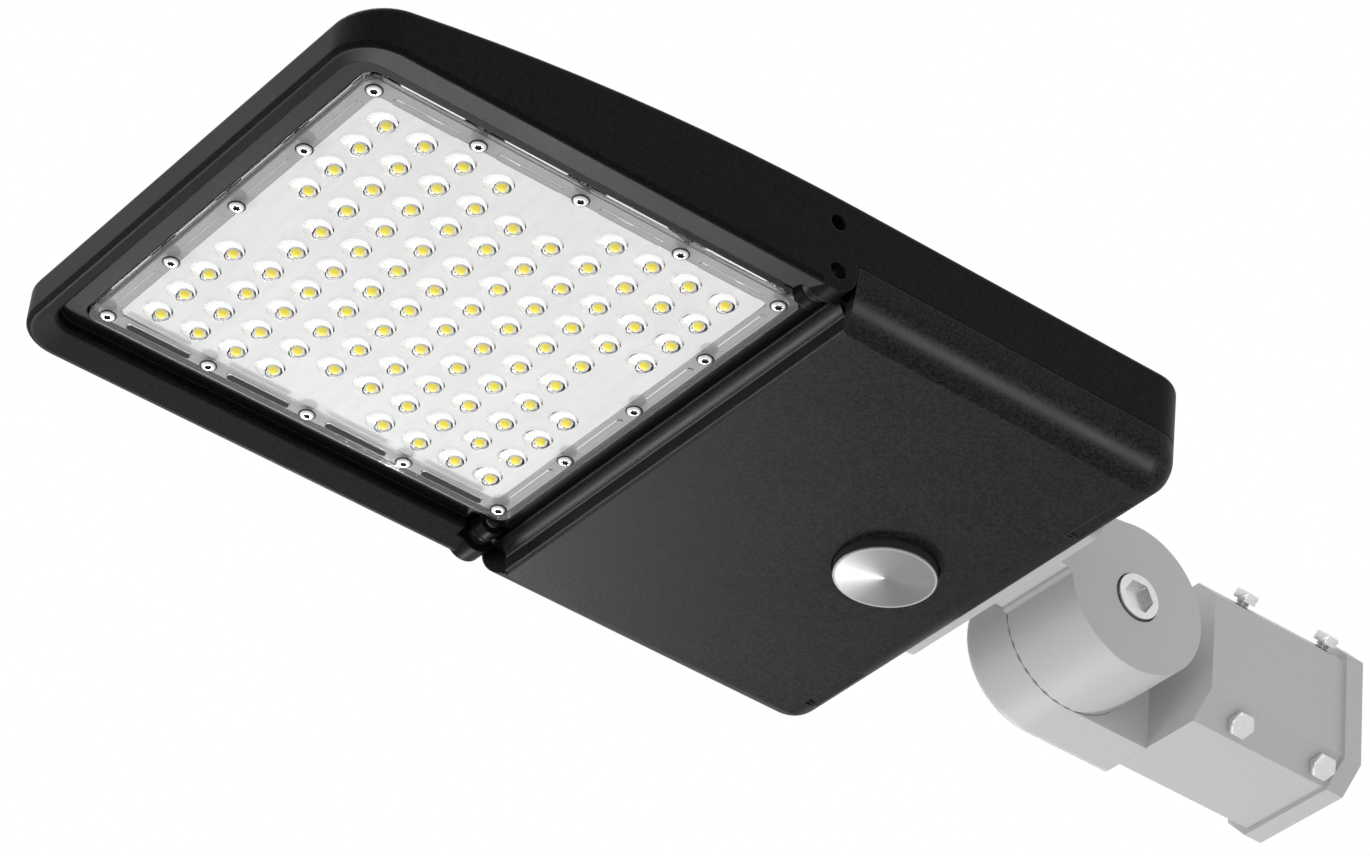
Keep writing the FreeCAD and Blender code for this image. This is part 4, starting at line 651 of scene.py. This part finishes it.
def screw_set(name, node, body, facing, height, shank, shadow_ring=False):
    """Detailed screws in the places of a node's plain ones. Facing is the heads' side."""
    facing = Vector(facing)
    bm = bmesh.new()
    for low, high in solid_boxes(node):
        size = high - low
        long = abs(facing.dot(size))
        wide = max(size.x, size.y) if abs(facing.z) > 0.5 else max(size.y, size.z)
        top = (low + high) / 2 + facing * long / 2
        pattern = pan_screw(wide, height, shank, long - height, shadow_ring)
        set_down(bm, pattern, top - facing * height, facing)
        pattern.free()
    return finish_piece(name, bm, body, [zinc, painted_shade], [node])


screw_set("cover_screws", "lens_screws", "head", (0, 0, -1), 1.0 * MM, 3 * MM, shadow_ring=True)
screw_set("ceiling_screws", "bay_screws", "head", (0, 0, -1), 2.6 * MM, 4 * MM)
screw_set("ground_screw", "earth_screw", "head", (0, 0, -1), 2.6 * MM, 4 * MM)
screw_set("strike_plate_screws", "strike_screws", "head", (1, 0, 0), 1.0 * MM, 3 * MM)
screw_set("slide_guide_screws", "guide_screws", "door", (0, 0, 1), 2.0 * MM, 2.5 * MM)

# %% [markdown]
# ## Hex bolts
# Four bolts clamp the socket on the pole and four hold the bracket to the head. A hex
# head starts as a six-sided cone of equal radii. Bevelling its top corners gives the
# usual chamfer, and the shank is spun from a zigzag, which reads as a thread.

# %% Make the hex bolts
HEX_FLATS = 10 * MM
HEX_HEIGHT = 4 * MM
HEX_SHANK = 6 * MM
THREAD_PITCH = 1 * MM
THREAD_DEPTH = 0.35 * MM
CORNER_CUT = 0.9 * MM
RIM_CUT = 0.3 * MM


def hex_bolt(bite):
    """A bolt about Z: its seat at 0, its head above and a thread of length `bite` below."""
    bm = bmesh.new()
    corner_r = HEX_FLATS / math.sqrt(3)
    seated = Matrix.Translation((0, 0, HEX_HEIGHT / 2)) @ Matrix.Rotation(math.pi / 6, 4, "Z")
    bmesh.ops.create_cone(bm, cap_ends=True, cap_tris=False, segments=6, radius1=corner_r,
                          radius2=corner_r, depth=HEX_HEIGHT, matrix=seated)
    corners = [v for v in bm.verts if v.co.z > HEX_HEIGHT / 2]
    bmesh.ops.bevel(bm, geom=corners, offset=CORNER_CUT, offset_type="OFFSET",
                    affect="VERTICES", segments=2, profile=0.5, material=-1)
    rims = [e for e in bm.edges if all(v.co.z > HEX_HEIGHT * 0.999 for v in e.verts)]
    bmesh.ops.bevel(bm, geom=rims, offset=RIM_CUT, offset_type="OFFSET", affect="EDGES",
                    segments=2, profile=0.5, material=-1)
    thread = bmesh.new()
    deep = HEX_SHANK / 2 - THREAD_DEPTH
    profile = [(0, 0), (HEX_SHANK / 2, 0)]
    turns = int(bite / THREAD_PITCH)
    for k in range(turns):
        profile += [(deep, -(k + 0.5) * THREAD_PITCH), (HEX_SHANK / 2, -(k + 1) * THREAD_PITCH)]
    profile += [(deep, -bite), (0, -bite)]
    spun(thread, profile, 24)
    set_down(bm, thread, (0, 0, 0), (0, 0, 1))
    thread.free()
    return bm


def hex_set(name, node, body, seats, facing_of, bite):
    bm = bmesh.new()
    pattern = hex_bolt(bite)
    for seat in seats:
        set_down(bm, pattern, seat, facing_of(seat))
    pattern.free()
    return finish_piece(name, bm, body, [zinc], [node])


CLAMP_PLACES = (17 * MM, 62 * MM)
CLAMP_SEAT = 43.23 * MM
CLAMP_BITE = 11.88 * MM
BRACKET_BITE = 10.7 * MM

slant = CLAMP_SEAT / math.sqrt(2)
clamp_seats = [Vector((x, slant, lift * slant)) for x in CLAMP_PLACES for lift in (-1, 1)]
hex_set("clamp_bolts", "set_bolts", "pole_fitter", clamp_seats,
        lambda seat: (0, seat.y, seat.z), CLAMP_BITE)
plate_seats = [Vector((low.x + HEX_HEIGHT, (low.y + high.y) / 2, (low.z + high.z) / 2))
               for low, high in solid_boxes("arm_bolts")]
hex_set("bracket_bolts", "arm_bolts", "head", plate_seats,
        lambda seat: (-1, 0, 0), BRACKET_BITE)

# %% [markdown]
# ## LEDs
# Each LED is a white package with a round lens of yellow phosphor, which stands in the
# hollow of the dome above it. The package is a cube with bevelled edges, and the lens is
# spun from a quarter of an arch. There are many, so each has few faces.

# %% Set out the LEDs
CHIP = 4.2 * MM
ARCH = [(0, 1.5), (0.9, 1.35), (1.65, 0.9), (2.0, 0.3), (2.05, 0), (0, 0)]
chip_low, chip_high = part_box("led_chips")
chip_thick = chip_high.z - chip_low.z

one_led = bmesh.new()
package = Matrix.Diagonal((CHIP, CHIP, chip_thick, 1.0))
bmesh.ops.create_cube(one_led, size=1.0, matrix=package)
bmesh.ops.bevel(one_led, geom=list(one_led.edges), offset=0.12 * MM, offset_type="OFFSET",
                affect="EDGES", segments=1, profile=0.5, material=-1)
bead = bmesh.new()
spun(bead, [(r * MM, z * MM) for r, z in ARCH], 16)
for face in bead.faces:
    face.material_index = 1
set_down(one_led, bead, (0, 0, chip_thick / 2), (0, 0, 1))
bead.free()

leds = bmesh.new()
places = [(low + high) / 2 for low, high in solid_boxes("led_chips")]
for place in places:
    set_down(leds, one_led, place, (0, 0, -1))
one_led.free()
finish_piece("led_array", leds, "head", [led_package, phosphor], ["led_chips"])
print("LEDs:", len(places))

# %% [markdown]
# ## Turned button
# The button is a cup with a turned face. A saw-toothed profile spun about its axis gives
# the grooves: each long flank leans outwards a little, so that light from one side lights
# one half of the face and leaves the other half grey. The side of the cup is black.

# %% Turn the button
GROOVES = 60
LEAN = math.radians(12)
SKIN = 2 * MM
PLAIN_RIM = 1.1 * MM

radius = (cap_high.x - cap_low.x) / 2
face_r = radius - PLAIN_RIM
pitch = face_r / GROOVES
rise = pitch * math.tan(LEAN)
height = cap_high.z - cap_low.z
profile = [(0, rise)]
for k in range(GROOVES):
    profile += [(k * pitch + pitch * 0.06, 0.0), ((k + 1) * pitch, rise)]
profile += [(radius - 0.55 * MM, 0.02 * MM), (radius - 0.2 * MM, 0.2 * MM),
            (radius, 0.6 * MM), (radius, height), (radius - SKIN, height),
            (radius - SKIN, SKIN), (0, SKIN)]
cup = bmesh.new()
spun(cup, profile, 120)
for face in cup.faces:
    middle = face.calc_center_median()
    if middle.z > 0.5 * MM and middle.xy.length > radius - SKIN * 0.6:
        face.material_index = 1
bmesh.ops.translate(cup, verts=cup.verts, vec=(cap_axis.x, cap_axis.y, cap_low.z))
finish_piece("turned_button", cup, "button", [turned_metal, black_rubber],
             ["button_cap"], crisp=28)

# %% [markdown]
# ## Button spring
# A coil of wire pushes the button out. A small circle that climbs a little with each step
# of a spin makes the coil. The real spring shortens when the button goes in.

# %% Coil the spring
WIRE = 1 * MM
TURNS = 4
TURN_STEPS = 36

spring_low, spring_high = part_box("button_spring")
spring_tall = spring_high.z - spring_low.z
coil_radius = (spring_high.x - spring_low.x - WIRE) / 2
climb = (spring_tall - WIRE) / (TURNS * TURN_STEPS)
travel = next(j["range_m"][1] for j in frame["joints"] if j["name"] == "button_press")
coil = bmesh.new()
upright = Matrix.Rotation(math.pi / 2, 4, "X")
first_end = Matrix.Translation((coil_radius, 0, WIRE / 2)) @ upright
bmesh.ops.create_circle(coil, segments=10, radius=WIRE / 2, matrix=first_end)
bmesh.ops.spin(coil, geom=list(coil.verts) + list(coil.edges), cent=(0, 0, 0),
               axis=(0, 0, 1), dvec=(0, 0, climb), angle=math.tau * TURNS,
               steps=TURNS * TURN_STEPS)
open_ends = [edge for edge in coil.edges if edge.is_boundary]
bmesh.ops.holes_fill(coil, edges=open_ends, sides=0)
bmesh.ops.recalc_face_normals(coil, faces=coil.faces)
bmesh.ops.translate(coil, verts=coil.verts, vec=(cap_axis.x, cap_axis.y, spring_low.z))
spring = finish_piece("button_coil", coil, "door", [spring_steel],
                      ["button_spring"])
1 - travel / spring_tall
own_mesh(spring)
print("spring shortens by", round(travel / MM, 1), "of", round(spring_tall / MM, 1), "mm")

# %% [markdown]
# ## Softened pieces
# Sheet and moulded parts inside the bay have sharp edges in the solid. A merged copy of
# the solid, with its sharp edges bevelled, keeps the shape and catches light as the
# real one does.

# %% Soften the small parts
SHARP = math.radians(40)


def softened(node, width, segments=2):
    """A merged copy of a solid with its sharp edges bevelled."""
    bm = bmesh.new()
    bm.from_mesh(nodes[node].data)
    bmesh.ops.remove_doubles(bm, verts=bm.verts, dist=1e-6)
    bmesh.ops.dissolve_limit(bm, angle_limit=math.radians(1), use_dissolve_boundaries=False,
                             verts=bm.verts, edges=bm.edges)
    sharp = [e for e in bm.edges if e.is_manifold and e.calc_face_angle() > SHARP]
    bmesh.ops.bevel(bm, geom=sharp, offset=width, offset_type="OFFSET", affect="EDGES",
                    segments=segments, profile=0.5, material=-1, clamp_overlap=True)
    return bm


SOFTENED = [
    ("door_seal", "door_gasket", "door", "seal_black", black_rubber, 0.55),
    ("bracket_seal", "arm_gasket", "head", "seal_black", black_rubber, 0.3),
    ("latch_bar", "latch_slide", "latch", "bright_steel", zinc, 0.3),
    ("strike_plate", "latch_strike", "head", "bright_steel", zinc, 0.3),
    ("slide_guides", "latch_guides", "door", "bright_steel", zinc, 0.3),
    ("button_plunger", "button_stem", "button", "spun_metal", zinc, 0.25),
]
for name, node, body, slot, finish, width in SOFTENED:
    finish_piece(name, softened(node, width * MM), body, [finish], [node])

# %% [markdown]
# ## Bay contents
# With the door open the bay shows its driver, a terminal block and a surge arrester.
# The driver's case gets end caps and a collar where each lead leaves it, the terminal
# block ribs and clamp screws, and the arrester a recess filled with potting.

# %% Detail the bay contents
def slab(bm, low, high, round_off, finish_index=0):
    """A block between two corners with its edges bevelled."""
    block = bmesh.new()
    low, high = Vector(low), Vector(high)
    bmesh.ops.create_cube(block, size=1.0)
    size = high - low
    bmesh.ops.scale(block, verts=block.verts, vec=size)
    bmesh.ops.translate(block, verts=block.verts, vec=(low + high) / 2)
    bmesh.ops.bevel(block, geom=list(block.edges), offset=round_off, offset_type="OFFSET",
                    affect="EDGES", segments=2, profile=0.5, material=-1)
    for face in block.faces:
        face.material_index = finish_index
    set_down(bm, block, (0, 0, 0), (0, 0, 1))
    block.free()


def collar(bm, at, facing, finish_index):
    """A short tapered sleeve round a lead."""
    sleeve = bmesh.new()
    r = LEAD_DIAMETER / 2
    spun(sleeve, [(r * 1.05, 0), (r * 2.0, 0), (r * 2.0, 1.2 * MM), (r * 1.6, 1.6 * MM),
                  (r * 1.35, 4 * MM), (r * 1.05, 4 * MM), (r * 1.05, 0)], 24)
    for face in sleeve.faces:
        face.material_index = finish_index
    set_down(bm, sleeve, at, facing)
    sleeve.free()


CASE_REACH = 85 * MM
CAP_LONG = 9 * MM
CAP_PROUD = 0.4 * MM
CAP_SHY = 2.2 * MM
COLLAR_LET = 0.2 * MM

driver = softened("driver", 0.3 * MM)
drv_low, drv_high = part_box("driver")
for side in (-1, 1):
    ends = sorted((side * (CASE_REACH - CAP_LONG), side * (CASE_REACH + CAP_PROUD)))
    slab(driver, (drv_low.x - CAP_PROUD, ends[0], drv_low.z - CAP_PROUD),
         (drv_high.x + CAP_PROUD, ends[1], drv_high.z - CAP_SHY), 1.2 * MM, 1)
# Each collar sits where a lead meets the case, and is let a little into it.
collar(driver, (drv_high.x - COLLAR_LET, 0, 12 * MM), (1, 0, 0), 1)
collar(driver, (drv_low.x + COLLAR_LET, -10 * MM, 16 * MM), (-1, 0, 0), 1)
finish_piece("driver_unit", driver, "head", [drawn_case, potting], ["driver"])

POLES = 3
EAR = 7.5 * MM
RIB_HALF = 0.8 * MM
RIB_TALL = 1.5 * MM
CLAMP_INSET = 5 * MM

block = softened("terminal_block", 0.4 * MM)
trm_low, trm_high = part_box("terminal_block")
inner_low, inner_high = trm_low.y + EAR, trm_high.y - EAR
step = (inner_high - inner_low) / POLES
for k in range(POLES + 1):
    y = inner_low + k * step
    slab(block, (trm_low.x, max(inner_low, y - RIB_HALF), trm_low.z - RIB_TALL),
         (trm_high.x, min(inner_high, y + RIB_HALF), trm_low.z + 1 * MM), 0.25 * MM)
clamp_screw = pan_screw(6 * MM, 1.2 * MM, 4 * MM, 2 * MM)
# The clamp screws' sockets keep their painted shade, now as the third finish.
for face in clamp_screw.faces:
    face.material_index += 1
for k in range(POLES):
    y = inner_low + (k + 0.5) * step
    for x in (trm_low.x + CLAMP_INSET, trm_high.x - CLAMP_INSET):
        set_down(block, clamp_screw, (x, y, trm_low.z), (0, 0, -1))
clamp_screw.free()
finish_piece("terminal_strip", block, "head", [nylon, zinc, painted_shade],
             ["terminal_block"])

POT_RIM = 2.2 * MM
POT_DEPTH = 1.2 * MM

arrester = softened("surge_protector", 0.8 * MM, 3)
near_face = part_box("surge_protector")[0].z + 0.1 * MM
pot = [f for f in arrester.faces
       if f.normal.z < -0.99 and f.calc_center_median().z < near_face]
bmesh.ops.inset_region(arrester, faces=pot, thickness=POT_RIM, use_even_offset=True)
bmesh.ops.inset_region(arrester, faces=pot, thickness=0.2 * MM, depth=-POT_DEPTH,
                       use_even_offset=True)
for face in pot:
    face.material_index = 1
finish_piece("surge_arrester", arrester, "head", [blue_case, potting],
             ["surge_protector"])

# %% [markdown]
# ## Pads on the cover
# Raised bars run between the cover's screws. Along one side each bar carries a dark
# rubber pad, which is a thin cylinder drawn out into a rounded strip: one half of its
# points moves to the far end of the strip.

# %% Lay the pads
PADS = 4
PAD_WIDE, PAD_THICK, PAD_LONG = 2.9 * MM, 0.3 * MM, 29 * MM
BAR_FACE = -4.4 * MM
SCREW_HALF = 3 * MM

screw_low, screw_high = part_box("lens_screws")
pad_row = screw_low.y + SCREW_HALF
first_screw = screw_low.x + SCREW_HALF
screw_step = (screw_high.x - SCREW_HALF - first_screw) / PADS

one_pad = bmesh.new()
bmesh.ops.create_cone(one_pad, cap_ends=True, cap_tris=False, segments=16,
                      radius1=PAD_WIDE / 2 - 0.1 * MM, radius2=PAD_WIDE / 2, depth=PAD_THICK)
for vert in one_pad.verts:
    vert.co.x += math.copysign((PAD_LONG - PAD_WIDE) / 2, vert.co.x)
pads = bmesh.new()
for k in range(PADS):
    middle = (first_screw + (k + 0.5) * screw_step, pad_row, BAR_FACE - PAD_THICK * 0.4)
    set_down(pads, one_pad, middle, (0, 0, 1))
one_pad.free()
finish_piece("cover_pads", pads, "head", [pad_rubber])
